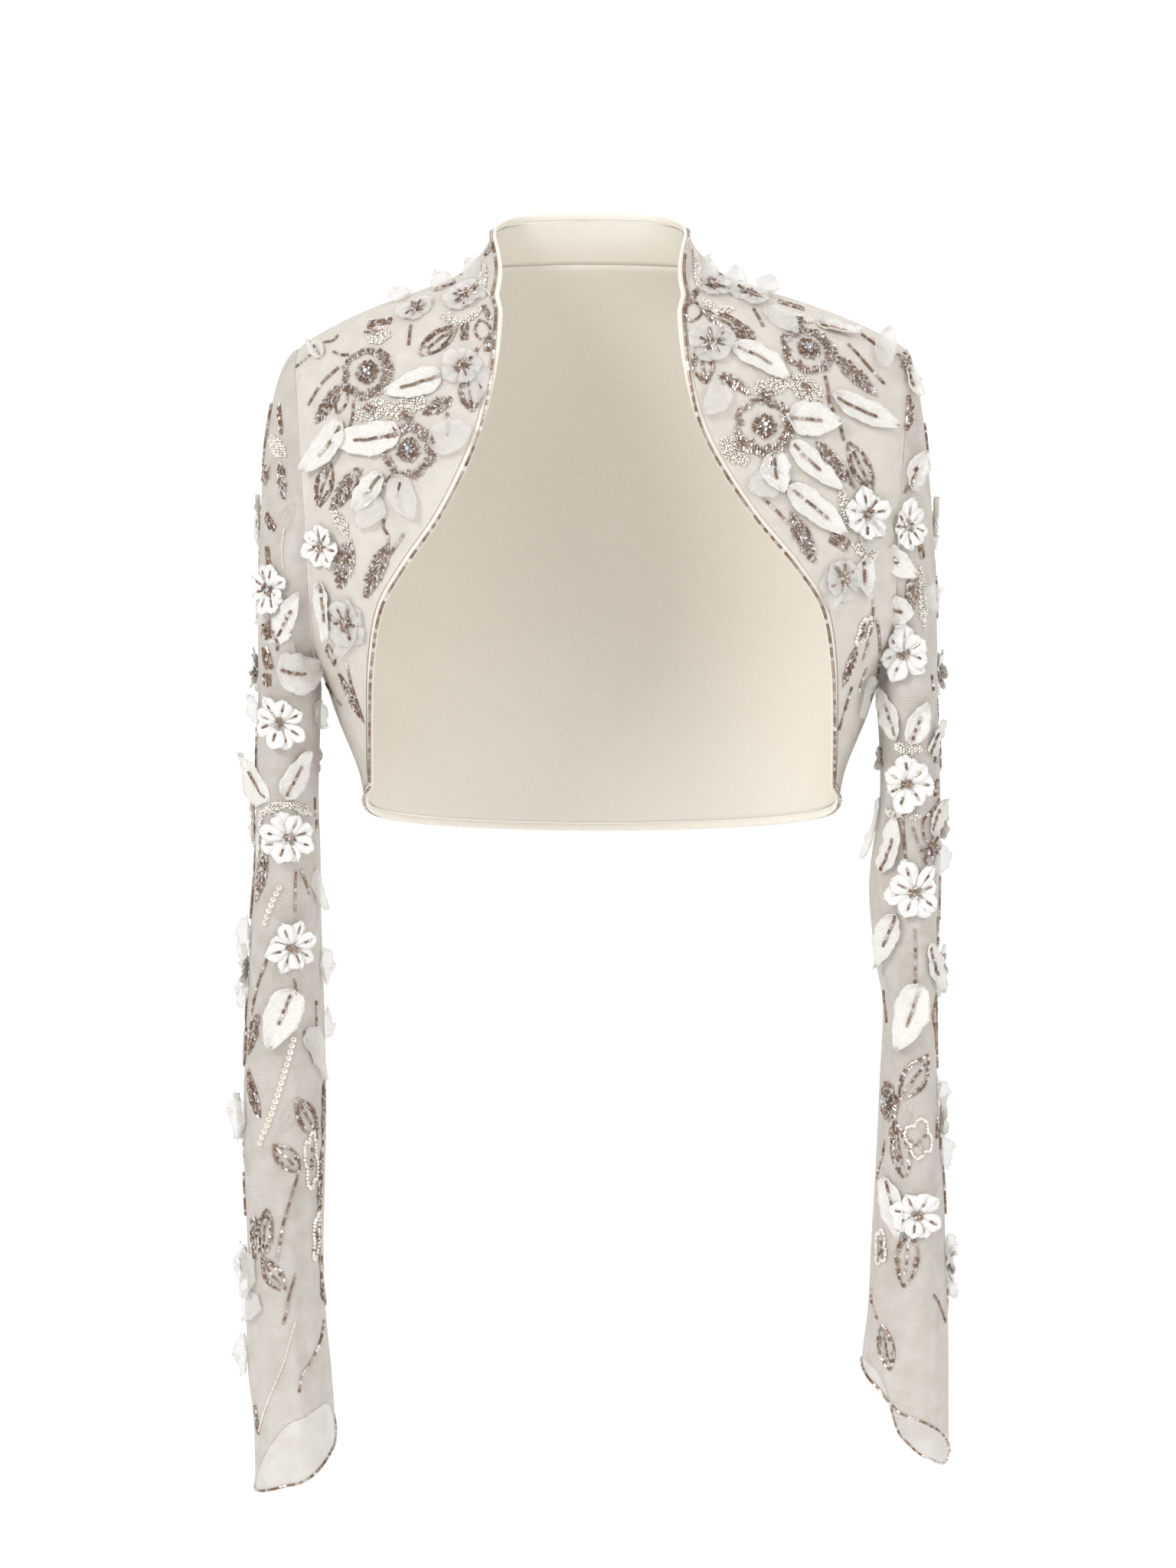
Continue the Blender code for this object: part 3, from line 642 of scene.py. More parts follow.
@dataclass(frozen=True)
class Finish:
    """What every finish has: a colour, a gloss and a fine noise that keeps it from being flat."""

    name: str
    colour: str
    shade: str
    roughness: float
    grain: float = 2.0
    bump: float = 0.1
    depth: float = 0.1
    sheen: float = 0.0
    coat: float = 0.0
    coat_roughness: float = 0.15
    metallic: float = 0.0
    alpha: float = 1.0
    noise_detail: float = 3.0
    noise_roughness: float = 0.6
    shade_place: float = 0.3
    colour_place: float = 0.65

    def material(self) -> bpy.types.Material:
        """Makes the material, with its colour and bump from the finish's own nodes."""
        made = bpy.data.materials.new(self.name)
        made.use_nodes = True
        tree = made.node_tree
        shader = tree.nodes["Principled BSDF"]
        values = {
            "Roughness": self.roughness,
            "Metallic": self.metallic,
            "Sheen Weight": self.sheen,
            "Coat Weight": self.coat,
            "Coat Roughness": self.coat_roughness,
            "Alpha": self.alpha,
        }
        for socket, value in values.items():
            shader.inputs[socket].default_value = value
        self.dress(tree, shader)
        return made

    def dress(self, tree: bpy.types.NodeTree, shader: bpy.types.Node) -> None:
        """Colour and bump from a noise of the grain's size.

        Args:
            tree: the material's nodes.
            shader: its principled shader.
        """
        place = add_node(tree, "ShaderNodeTexCoord")
        noise = add_node(
            tree,
            "ShaderNodeTexNoise",
            values={
                "Scale": 1.0 / (self.grain * MM),
                "Detail": self.noise_detail,
                "Roughness": self.noise_roughness,
            },
            links={"Vector": place.outputs["Object"]},
        )
        ramp = add_node(tree, "ShaderNodeValToRGB", links={"Fac": noise.outputs["Fac"]})
        set_stops(ramp, ((self.shade_place, self.shade), (self.colour_place, self.colour)))
        bump = add_node(
            tree,
            "ShaderNodeBump",
            values={"Strength": self.bump, "Distance": self.depth * MM},
            links={"Height": noise.outputs["Fac"]},
        )
        tree.links.new(ramp.outputs["Color"], shader.inputs["Base Color"])
        tree.links.new(bump.outputs["Normal"], shader.inputs["Normal"])


@dataclass(frozen=True)
class Tulle(Finish):
    """Silk tulle, knotted in six-sided cells: fine threads with see-through holes between.

    The real cells are about 1 mm, so they are drawn wider to show, and a hole keeps the haze of
    the finer threads that it stands for.
    """

    cell: float = 1.6
    cell_turns: tuple[int, ...] = (30, 90, 150)
    thread_wave: float = -0.7
    hole_wave: float = 1.1
    thread_alpha: float = 0.9
    hole_alpha: float = 0.66

    def dress(self, tree: bpy.types.NodeTree, shader: bpy.types.Node) -> None:
        """Three crossing waves make the cells, on the net's own thread lengths.

        Args:
            tree: the material's nodes.
            shader: its principled shader.
        """
        super().dress(tree, shader)
        threads = add_node(tree, "ShaderNodeUVMap", settings={"uv_map": "Thread"})
        pitch = 2 * math.pi / (self.cell * math.cos(math.radians(self.cell_turns[0])))
        total = None
        for turn in self.cell_turns:
            way = (math.cos(math.radians(turn)) * pitch, math.sin(math.radians(turn)) * pitch, 0.0)
            links = {0: threads.outputs["UV"]}
            dot = add_node(tree, "ShaderNodeVectorMath", {"operation": "DOT_PRODUCT"}, {1: way}, links)
            links = {0: dot.outputs["Value"]}
            wave = add_node(tree, "ShaderNodeMath", {"operation": "COSINE"}, links=links)
            if total:
                links = {0: total.outputs["Value"], 1: wave.outputs["Value"]}
                wave = add_node(tree, "ShaderNodeMath", {"operation": "ADD"}, links=links)
            total = wave
        cover = add_node(
            tree,
            "ShaderNodeMapRange",
            settings={"interpolation_type": "SMOOTHSTEP"},
            values={1: self.thread_wave, 2: self.hole_wave, 3: self.thread_alpha, 4: self.hole_alpha},
            links={0: total.outputs["Value"]},
        )
        tree.links.new(cover.outputs["Result"], shader.inputs["Alpha"])


@dataclass(frozen=True)
class Glass(Finish):
    """Lined glass beads: each has its own tone, from the tone that its mesh carries."""

    tones: tuple[tuple[float, str], ...] = ()

    def dress(self, tree: bpy.types.NodeTree, shader: bpy.types.Node) -> None:
        """A ramp turns each bead's tone into its colour.

        Args:
            tree: the material's nodes.
            shader: its principled shader.
        """
        tone = add_node(tree, "ShaderNodeAttribute", settings={"attribute_name": "tone"})
        ramp = add_node(tree, "ShaderNodeValToRGB", links={"Fac": tone.outputs["Fac"]})
        set_stops(ramp, self.tones)
        tree.links.new(ramp.outputs["Color"], shader.inputs["Base Color"])


# Tulle of undyed silk. Over the lining it only dulls the ivory a little.
BODY_NET = Tulle(
    "silk_tulle_lined", "E6E0D8", "DCD5CA", 0.8, grain=9, bump=0.1, sheen=0.1,
    thread_alpha=0.93, hole_alpha=0.84,
)
# The same tulle on its own. Its colour is painted greyer than the body's tulle: painted shade for the
# light that goes through both walls of the sleeve.
SLEEVE_NET_PAINTED_SHADE = Tulle(
    "silk_tulle_sheer_painted_shade", "D5CFC8", "C7BFB5", 0.85, grain=12, bump=0.15, sheen=0.05,
    thread_alpha=0.86, hole_alpha=0.64,
)
# Dull woven crepe behind the net, warm and even.
LINING = Finish("lining_crepe", "EEE8DC", "E4DCCE", 0.7, grain=0.7, bump=0.25, depth=0.15)
# Soft silk satin cut on the bias and rolled, with a low shine.
ROLLED_SATIN = Finish("bias_satin", "F8F2E6", "F0E8DA", 0.45, grain=1.2, bump=0.2, sheen=0.3)
# Heat-shaped satin petals: white, smooth and faintly glossy.
PETAL_SATIN = Finish(
    "petal_satin", "F6F5F2", "E8E6E2", 0.5, grain=2.5, bump=0.5, depth=0.4, sheen=0.15
)
# Crinkled cloque leaves: matt white with small puckers.
LEAF_CLOQUE = Finish("leaf_cloque", "F2F0EB", "E3DFD8", 0.75, grain=1.5, bump=0.7, depth=0.5)
# Organza, so thin that the net shows through it.
ORGANZA = Finish(
    "silk_organza", "F6F4F0", "ECE8E2", 0.5, grain=3, bump=0.4, depth=0.3, sheen=0.1, alpha=0.42
)
# Silver-lined glass, smoky with a cool sparkle.
BEAD_GLASS = Glass(
    "silver_lined_glass", "", "", 0.22, coat=0.6, metallic=0.35,
    tones=((0.0, "6E5545"), (0.3, "927A69"), (0.58, "B5A598"), (0.8, "D3CAC8"), (1.0, "F3EEF2")),
)
# Glass pearls with a warm creamy lustre.
PEARL = Glass(
    "glass_pearl", "", "", 0.25, coat=0.7, tones=((0.0, "E4DDD0"), (0.6, "F0EBE1"), (1.0, "FAF8F3"))
)
# Cupped sequins of clear cream film.
SEQUIN = Glass(
    "sequin_film", "", "", 0.15, coat=0.8, alpha=0.85, tones=((0.0, "EFE9D6"), (1.0, "FBF8EF"))
)
# Foiled cut stones, the brightest points on the jacket.
STONE = Glass(
    "foiled_stone", "", "", 0.06, coat=1.0, metallic=0.8, tones=((0.0, "B9BCC2"), (1.0, "F2F5FA"))
)
# Matt white paint, even and without a grain that shows.
FLOOR_PAINT = Finish("floor_paint", "FCFCFC", "FAFAFA", 0.9, grain=400, bump=0.02)


class Tailor:
    """Turns shapes into pieces, and keeps one material for each finish."""

    def __init__(self) -> None:
        """Starts with no materials and no pieces."""
        self.materials: dict[str, bpy.types.Material] = {}
        self.pieces: dict[str, bpy.types.Object] = {}

    def piece(
        self,
        name: str,
        mesh: bpy.types.Mesh,
        finish: Finish,
        slot: str | None = None,
        thickness: float = 0.0,
        smooth: bool = True,
    ) -> bpy.types.Object:
        """Makes a mesh a piece of the jacket.

        Args:
            name: the piece's name.
            mesh: its mesh, in millimetres.
            finish: what it is made of.
            slot: the record's material slot, where one fits. It is not used.
            thickness: of the cloth, where the piece has two sides.
            smooth: whether its faces are shaded as one surface.

        Returns:
            The piece.
        """
        if finish.name not in self.materials:
            self.materials[finish.name] = finish.material()
        mesh.transform(Matrix.Scale(MM, 4))
        mesh.materials.append(self.materials[finish.name])
        if smooth:
            mesh.shade_smooth()
        made = add_object(name, mesh)
        if thickness:
            wall = made.modifiers.new("Cloth", "SOLIDIFY")
            wall.thickness = thickness * MM
            wall.offset = -1.0
        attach(made, "root")
        self.pieces[name] = made
        LOG.info("%s: %d faces", name, len(mesh.polygons))
        return made


@dataclass(frozen=True)
class Weave:
    """How finely a cloth is laid, and whether it closes into a tube or a loop."""

    columns: int
    rows: int
    tube: bool = False
    loop: bool = False


class Cloth:
    """A laid cloth: its mesh, its area and the outer side that trimmings are sewn to."""

    merge_gap: float = 0.01
    def __init__(
        self,
        name: str,
        weave: Weave,
        place: Callable[[Array, Array], Array],
        creases: Sequence[Crease] = (),
        inset: float = 0.0,
    ) -> None:
        """Lays a grid on a surface.

        Args:
            name: the cloth's name.
            weave: how finely it is laid.
            place: the surface, as points for shares across and down.
            creases: troughs and ridges.
            inset: how far inside the surface the cloth lies.
        """
        self.name = name
        shape = bmesh.new()
        thread = shape.loops.layers.uv.new("Thread")
        bmesh.ops.create_grid(shape, x_segments=weave.columns, y_segments=weave.rows, size=0.5)
        flat = np.array([vert.co.xy[:] for vert in shape.verts]) + 0.5
        u, v = flat[:, 0], 1 - flat[:, 1]
        points = place(u, v)
        i, j = np.rint(v * weave.rows).astype(int), np.rint(u * weave.columns).astype(int)
        grid = np.zeros((weave.rows + 1, weave.columns + 1, 3))
        grid[i, j] = points
        across = np.linalg.norm(np.diff(grid, axis=1), axis=2).sum(axis=1)
        down = np.linalg.norm(np.diff(grid, axis=0), axis=2).sum(axis=0)
        self.size = (float(across.mean()), float(down.mean()))
        self.widest = (float(across.max()), float(down.max()))
        threads = np.stack([u * self.size[0], v * self.size[1]], axis=-1)
        for face in shape.faces:
            for loop in face.loops:
                loop[thread].uv = threads[loop.vert.index]
        normals = self.outward(grid, weave)[i, j]
        lift = -inset + sum((crease.lift(points) for crease in creases), np.zeros(len(points)))
        points = points + normals * lift[:, None]
        for vert, point in zip(shape.verts, points):
            vert.co = point
        if weave.tube or weave.loop:
            bmesh.ops.remove_doubles(shape, verts=shape.verts, dist=self.merge_gap)
        shape.normal_update()
        middle = points.mean(axis=0)
        facing = sum(
            face.normal.dot(face.calc_center_median() - Vector(middle)) * face.calc_area()
            for face in shape.faces
        )
        if weave.loop:
            bmesh.ops.recalc_face_normals(shape, faces=shape.faces)
        elif facing < 0:
            bmesh.ops.reverse_faces(shape, faces=shape.faces)
        self.area = sum(face.calc_area() for face in shape.faces)
        self.tree = BVHTree.FromBMesh(shape)
        self.mesh = bpy.data.meshes.new(name)
        shape.to_mesh(self.mesh)
        shape.free()

    @staticmethod
    def outward(grid: Array, weave: Weave) -> Array:
        """The outward direction at each point of a grid.

        Args:
            grid: rows of points.
            weave: how the grid closes.

        Returns:
            Rows of unit vectors.
        """
        down = np.gradient(grid, axis=0)
        across = np.gradient(grid, axis=1)
        if weave.tube:
            across[:, 0] = across[:, -1] = (grid[:, 1] - grid[:, -2]) / 2
        normals = np.cross(down, across)
        normals /= np.maximum(np.linalg.norm(normals, axis=2), 1e-9)[..., None]
        off = grid - grid.mean(axis=(0, 1))
        return normals if (normals * off).sum() > 0 else -normals

    def nearest(self, point: Vector) -> tuple[Vector, Vector]:
        """The cloth's nearest place to a point, and the way out of the cloth there."""
        place, normal, _, _ = self.tree.find_nearest(point)
        return place, normal


@dataclass(frozen=True)
class PhotoView:
    """The photograph's own place and lens, which the trimmings are looked at through."""

    across_px: int = 1536
    down_px: int = 2048
    target: tuple[float, float, float] = (-8.4, 0.0, -305.0)
    distance: float = 3900.0
    pitch: float = 9.6
    lens: float = 147.8
    sensor: float = 36.0
    sight_end: float = 100.0

    @property
    def eye(self) -> Vector:
        """Where the camera stands."""
        tilt = math.radians(self.pitch)
        return Vector(self.target) + Vector((0, -math.cos(tilt), math.sin(tilt))) * self.distance

    def ray(self, px: float, py: float) -> Vector:
        """The way from the camera through a pixel.

        Args:
            px: pixels from the picture's left edge.
            py: pixels from its top edge.

        Returns:
            A unit vector.
        """
        tilt = math.radians(self.pitch)
        forward = Vector((0, math.cos(tilt), -math.sin(tilt)))
        upward = Vector((0, math.sin(tilt), math.cos(tilt)))
        pitch = self.sensor / self.lens / self.down_px
        right = Vector((1, 0, 0)) * (px - self.across_px / 2) * pitch
        return (forward + right + upward * (self.down_px / 2 - py) * pitch).normalized()

    def camera(self) -> None:
        """Sets up the camera."""
        data = bpy.data.cameras.new("photo_view")
        data.lens = self.lens
        data.sensor_fit = "VERTICAL"
        data.sensor_height = self.sensor
        data.clip_end = self.sight_end
        made = add_object("photo_view", data)
        made.location = self.eye * MM
        made.rotation_euler = (math.radians(90 - self.pitch), 0.0, 0.0)
        bpy.context.scene.camera = made


@dataclass(frozen=True)
class Patch:
    """A small working area on a cloth, flat where it touches and bent to the cloth further out.

    Its length and width are those of what is sewn there. Something round has its reach as length.
    """

    cloth: Cloth
    centre: Vector
    normal: Vector
    along: Vector
    length: float = 0.0
    width: float = 0.0
    least_facing: float = -0.2
    least_height: float = 0.4

    def lay(
        self, across: float, along: float, height: float, cling: float = 1.0
    ) -> tuple[Vector, Vector]:
        """A point above the cloth.

        Args:
            across: to the right of the patch's own direction.
            along: in the patch's own direction.
            height: above the cloth.
            cling: 1 follows the cloth, and 0 stays flat.

        Returns:
            The point, and the way out there.
        """
        right = self.along.cross(self.normal)
        flat = self.centre + right * across + self.along * along
        place, facing = self.cloth.nearest(flat)
        if facing.dot(self.normal) < self.least_facing:
            facing = self.normal
        near = place + facing * height
        free = flat + self.normal * height
        point = near.lerp(free, 1 - cling)
        sunk = min(height, self.least_height) - (point - place).dot(facing)
        if sunk > 0:
            point = point + facing * sunk
        return point, facing.lerp(self.normal, 1 - cling).normalized()

    def turned(self, degrees: float) -> Patch:
        """The same patch turned clockwise.

        Args:
            degrees: how far it turns.

        Returns:
            The new patch.
        """
        centre, normal = self.lay(0.0, 0.0, 0.0)
        way = self.along.copy()
        way.rotate(Matrix.Rotation(-math.radians(degrees), 3, self.normal))
        way = (way - normal * way.dot(normal)).normalized()
        return Patch(self.cloth, centre, normal, way, self.length, self.width)


class Unit:
    """The plain shape of a small thing, with a reach of one each way."""

    def __init__(self, shape: bmesh.types.BMesh) -> None:
        """Reads the shape and frees it."""
        self.verts = np.array([vert.co[:] for vert in shape.verts])
        self.faces = [[vert.index for vert in face.verts] for face in shape.faces]
        shape.free()

    @classmethod
    def bugle(cls) -> Unit:
        """A six-sided tube bead, lengthways on Y."""
        shape = bmesh.new()
        turn = Matrix.Rotation(math.radians(90), 4, "X")
        bmesh.ops.create_cone(
            shape, cap_ends=True, segments=6, radius1=1, radius2=1, depth=2, matrix=turn
        )
        return cls(shape)

    @classmethod
    def pearl(cls) -> Unit:
        """A small round pearl."""
        shape = bmesh.new()
        bmesh.ops.create_uvsphere(shape, u_segments=8, v_segments=5, radius=1)
        return cls(shape)

    @classmethod
    def sequin(cls) -> Unit:
        """A cupped ring of film."""
        shape = bmesh.new()
        bmesh.ops.create_cone(shape, cap_ends=False, segments=9, radius1=0.35, radius2=1, depth=0.5)
        return cls(shape)

    @classmethod
    def stone(cls) -> Unit:
        """A cut stone with a flat top."""
        shape = bmesh.new()
        bmesh.ops.create_cone(shape, cap_ends=True, segments=8, radius1=1, radius2=0.55, depth=1)
        return cls(shape)

    @classmethod
    def cut(cls, columns: int, rows: int) -> Unit:
        """A flat cut shape, from -1 to 1 across on X and 0 to 1 along on Y."""
        shape = bmesh.new()
        bmesh.ops.create_grid(shape, x_segments=columns, y_segments=rows, size=1)
        bmesh.ops.scale(shape, verts=shape.verts, vec=(1, 0.5, 1))
        bmesh.ops.translate(shape, verts=shape.verts, vec=(0, 0.5, 0))
        return cls(shape)


class Sprinkle:
    """Small hard things of one shape that are sewn on one by one and joined as one mesh."""

    place, axes, size, tone = slice(0, 3), slice(3, 12), slice(12, 15), 15

    def __init__(self, unit: Unit) -> None:
        """Starts empty."""
        self.unit = unit
        self.rows: list[tuple[float, ...]] = []

    def put(self, place: Vector, way: Vector, normal: Vector, size: Sequence[float], tone: float) -> None:
        """Sews one on.

        Args:
            place: its middle.
            way: which way it lies.
            normal: the way out of the cloth.
            size: its half width, half length and half height.
            tone: from 0, dark, to 1, bright.
        """
        way = (way - normal * way.dot(normal)).normalized()
        self.rows.append((*place, *way.cross(normal), *way, *normal, *size, tone))

    def mesh(self, name: str) -> bpy.types.Mesh:
        """Joins them.

        Args:
            name: the mesh's name.

        Returns:
            The mesh, with a tone on each point.
        """
        rows = np.array(self.rows)
        axes = rows[:, self.axes].reshape(-1, 3, 3)
        local = self.unit.verts[None] * rows[:, None, self.size]
        points = rows[:, None, self.place] + np.einsum("nvk,nkc->nvc", local, axes)
        count = len(self.unit.verts)
        faces = [[n * count + k for k in face] for n in range(len(rows)) for face in self.unit.faces]
        made = bpy.data.meshes.new(name)
        made.from_pydata(points.reshape(-1, 3), [], faces)
        tone = made.attributes.new("tone", "FLOAT", "POINT")
        tone.data.foreach_set("value", np.repeat(rows[:, self.tone], count).astype(np.float32))
        return made


class Cuttings:
    """Petals and leaves cut from cloth and joined as one mesh."""

    def __init__(self, unit: Unit) -> None:
        """Starts empty."""
        self.unit = unit
        self.points: list[Vector] = []
        self.faces: list[list[int]] = []

    def put(self, patch: Patch, form: Callable[[Array, Array], tuple], cling: float) -> None:
        """Sews one on.

        Args:
            patch: where it is sewn.
            form: across, along and height for shares across from -1 and along from 0.
            cling: how closely it follows the cloth.
        """
        first = len(self.points)
        across, along, height = form(self.unit.verts[:, 0], self.unit.verts[:, 1])
        for a, b, h in zip(across, along, height):
            self.points.append(patch.lay(a, b, h, cling)[0])
        self.faces += [[first + k for k in face] for face in self.unit.faces]

    def mesh(self, name: str) -> bpy.types.Mesh:
        """The joined mesh."""
        made = bpy.data.meshes.new(name)
        made.from_pydata(self.points, [], self.faces)
        return made


@dataclass(frozen=True)
class Petal:
    """One petal: narrow at the middle, round at the rim and puffed beside its groove."""

    far: float
    wide: float
    rise: float
    notch: float
    tilt: float
    layer: float
    rib: float
    belly: float = 0.66
    foot_width: float = 0.22
    foot_place: float = 0.08
    tip_least: float = 0.04
    notch_width: float = 0.3
    corner_drop: float = 0.1
    puff: float = 1.7
    cross_ribs: float = 0.3
    long_ribs: float = 0.25
    least_height: float = 0.3

    def form(self, t: Array, s: Array) -> tuple[Array, Array, Array]:
        """The petal's surface.

        Args:
            t: across, from -1 to 1.
            s: along, from the flower's middle at 0 to the rim at 1.

        Returns:
            Across, along and height in millimetres.
        """
        near = np.sin(math.pi / 2 * np.clip(s / self.belly, 0, 1)) ** 1.2
        near = self.foot_width + (1 - self.foot_width) * near
        tip = 1 - (np.clip(s - self.belly, 0, 1) / (1 - self.belly)) ** 2.4
        tip = np.sqrt(np.clip(tip, self.tip_least, 1))
        along = self.far * (self.foot_place + (1 - self.foot_place) * s)
        along *= 1 - self.notch * s**5 * np.exp(-((t / self.notch_width) ** 2))
        along -= self.far * self.corner_drop * t**2 * s
        puff = np.abs(np.sin(math.pi * np.abs(t) ** 0.8)) * np.sin(math.pi * s) ** 0.7
        height = self.layer + self.rise * s**1.6 + self.puff * puff + self.tilt * t * s
        height += self.cross_ribs * np.sin(8 * t + self.rib) * s
        height += self.long_ribs * np.sin(11 * s + self.rib) * t
        return t * self.wide * near * tip, along, np.maximum(height, self.least_height)


@dataclass(frozen=True)
class Leaf:
    """One cut leaf: round at its root, pointed at its tip, its rims lifted and waved."""

    length: float
    width: float
    rise: float
    curl: float
    bend: float
    wave: float
    fullest: float = 0.42
    foot_width: float = 0.03
    ragged_coarse: float = 0.05
    ragged_fine: float = 0.03
    rim_crinkle: float = 0.5
    cross_crinkle: float = 0.3
    vein_crinkle: float = 0.45
    sway: float = 1.1
    lift: float = 0.9
    least_height: float = 0.3

    def form(self, t: Array, s: Array) -> tuple[Array, Array, Array]:
        """The leaf's surface.

        Args:
            t: across, from -1 to 1.
            s: along, from the root at 0 to the tip at 1.

        Returns:
            Across, along and height in millimetres.
        """
        wave = self.wave
        outline = s**0.5 * (1 - s) ** 0.8 / self.fullest
        ragged = 1 + self.ragged_coarse * np.sin(17 * s + wave)
        ragged += self.ragged_fine * np.sin(41 * s + 2 * wave)
        across = t * (self.foot_width + outline * ragged) * self.width / 2
        across += self.bend * self.length * np.sin(math.pi * s)
        height = self.lift + self.rise * t**2 + self.curl * s**2.5
        height += self.rim_crinkle * np.sin(13 * s + 4 * t + wave) * np.abs(t)
        height += self.cross_crinkle * np.sin(21 * s - 6 * t)
        height += self.vein_crinkle * np.sin(27 * s + 8 * np.abs(t) + wave) * np.sqrt(np.abs(t))
        height += self.sway * np.sin(5 * s + 2 * wave) * t
        return across, (s - 0.5) * self.length, np.maximum(height, self.least_height)


Pixel = tuple[float, float]


@dataclass(frozen=True)
class HiddenMark:
    """A trimming that the photograph doesn't show, by its place in millimetres."""

    kind: Sewn
    cloth: str
    seen: Seen
    place: float
    z: float
    length: float
    width: float = 0.0
    turn: float = 0.0


class Embroiderer:
    """Sews every bead, pearl, petal and leaf to the outer cloths."""

    bugle_length: float = 2.3
    bugle_width: float = 1.8
    bead_gap: float = 0.2
    pearl_width: float = 1.9
    pearl_crowding: float = 0.92
    row_nesting: float = 0.87
    loop_crowding: float = 0.8
    seed_width: float = 1.4
    sequin_width: float = 3.8
    sequin_lift: float = 0.3
    free_cling: float = 0.45
    petal_cling: float = 0.55
    organza_cling: float = 0.85
    least_facing: float = 0.5
    leaf_facing: float = 0.74
    span_looks: tuple[float, ...] = (0.5, 0.3, 0.1)
    flower_spread: float = 1.18

    def __init__(self, view: PhotoView, cloths: dict[str, Cloth]) -> None:
        """Starts with nothing sewn on.

        Args:
            view: what pixels are looked at through.
            cloths: the outer cloths by name.
        """
        self.view = view
        self.cloths = cloths
        self.units = {
            "beads": Unit.bugle(),
            "pearls": Unit.pearl(),
            "sequins": Unit.sequin(),
            "stones": Unit.stone(),
        }
        self.cuts = {"petals": Unit.cut(10, 9), "leaves": Unit.cut(8, 16), "organza": Unit.cut(8, 9)}
        self.sprinkles: dict[tuple[str, str], Sprinkle] = {}
        self.cuttings: dict[tuple[str, str], Cuttings] = {}

    def sprinkle(self, what: str, cloth: Cloth) -> Sprinkle:
        """The small things of one kind on one cloth."""
        return self.sprinkles.setdefault((what, cloth.name), Sprinkle(self.units[what]))

    def cutting(self, what: str, cloth: Cloth) -> Cuttings:
        """The cut shapes of one kind on one cloth."""
        return self.cuttings.setdefault((what, cloth.name), Cuttings(self.cuts[what]))

    def hit(self, eye: Vector, way: Vector, names: Sequence[str]) -> tuple[Cloth, Vector, Vector] | None:
        """The first cloth on a line of sight.

        Args:
            eye: where the line starts.
            way: which way it goes.
            names: the cloths that count.

        Returns:
            The cloth, the place on it and the way out, or nothing.
        """
        best = None
        for name in names:
            place, normal, _, distance = self.cloths[name].tree.ray_cast(eye, way)
            if place and (best is None or distance < best[0]):
                best = (distance, self.cloths[name], place, normal)
        return best[1:] if best else None

    def photo_hit(self, px: float, py: float) -> tuple[Cloth, Vector, Vector] | None:
        """The cloth that shows at a pixel."""
        names = [name for name in self.cloths if name != "back"]
        return self.hit(self.view.eye, self.view.ray(px, py), names)

    def facing(self, way: Vector, normal: Vector, least: float) -> Vector:
        """Turns a normal that looks too far aside a little towards the camera.

        Args:
            way: of the line of sight.
            normal: the way out of the cloth.
            least: the cosine that it is turned to at least.

        Returns:
            The normal that a trimming is sewn by.
        """
        if normal.dot(way) > 0:
            normal = -normal
        short = least + normal.dot(way)
        return (normal - way * short).normalized() if short > 0 else normal

    def photo_patch(self, at: Pixel, reach: float) -> Patch:
        """A patch at a pixel.

        Args:
            at: the pixel.
            reach: of what is sewn there.

        Returns:
            The patch.
        """
        cloth, centre, normal = self.photo_hit(*at)
        normal = self.facing(self.view.ray(*at), normal, self.least_facing)
        upward = Vector((0.05, 0, 1))
        upward = (upward - normal * upward.dot(normal)).normalized()
        return Patch(cloth, centre, normal, upward, reach)

    def photo_span(self, kind: Sewn, root: Pixel, tip: Pixel, width: float) -> Patch:
        """A patch between two pixels.

        Args:
            kind: what is sewn there.
            root: where the trimming starts.
            tip: where it ends, which may lie beside the cloth.
            width: of the trimming.

        Returns:
            The patch that points to the tip.
        """
        between = [
            tuple(r + (t - r) * share for r, t in zip(root, tip)) for share in self.span_looks
        ]
        at, found = next((at, hit) for at in between if (hit := self.photo_hit(*at)))
        cloth, place, normal = found
        least = self.leaf_facing if kind is Sewn.CLOTH_LEAF else self.least_facing
        normal = self.facing(self.view.ray(*at), normal, least)
        ends = []
        for pixel in (root, tip):
            way = self.view.ray(*pixel)
            reach = (place - self.view.eye).dot(normal) / way.dot(normal)
            ends.append(self.view.eye + way * reach)
        along = ends[1] - ends[0]
        middle = (ends[0] + ends[1]) / 2
        return Patch(cloth, middle, normal, along.normalized(), along.length, width)

    def hidden_patch(self, mark: HiddenMark) -> Patch:
        """A patch on the back or on the outer side of a sleeve."""
        far = 400.0
        if mark.seen is Seen.BACK:
            eye, way = Vector((mark.place, far, mark.z)), Vector((0, -1, 0))
        else:
            sign = -1.0 if mark.cloth.endswith("right") else 1.0
            eye, way = Vector((sign * far, mark.place, mark.z)), Vector((-sign, 0, 0))
        cloth, centre, normal = self.hit(eye, way, [mark.cloth])
        upward = (Vector((0, 0, 1)) - normal * normal.z).normalized()
        return Patch(cloth, centre, normal, upward, mark.length, mark.width).turned(mark.turn)

    def bead(
        self, patch: Patch, across: float, along: float, degrees: float, height: float = 0.6,
        length: float = 2.3, width: float = 1.6, cling: float = 1.0, tone: float | None = None,
    ) -> None:
        """Sews on one tube bead.

        Args:
            patch: where it is sewn.
            across: its place in the patch.
            along: its place in the patch.
            degrees: which way it lies, clockwise.
            height: of its middle above the cloth.
            length: of the bead.
            width: of the bead.
            cling: how closely it follows the cloth.
            tone: its tone, or any.
        """
        place, normal = patch.lay(across, along, height, cling)
        way = patch.along.copy()
        way.rotate(Matrix.Rotation(-math.radians(degrees), 3, patch.normal))
        shade = draw_tone(1.1, 1.5) if tone is None else tone
        self.sprinkle("beads", patch.cloth).put(place, way, normal, tube_size(length, width), shade)

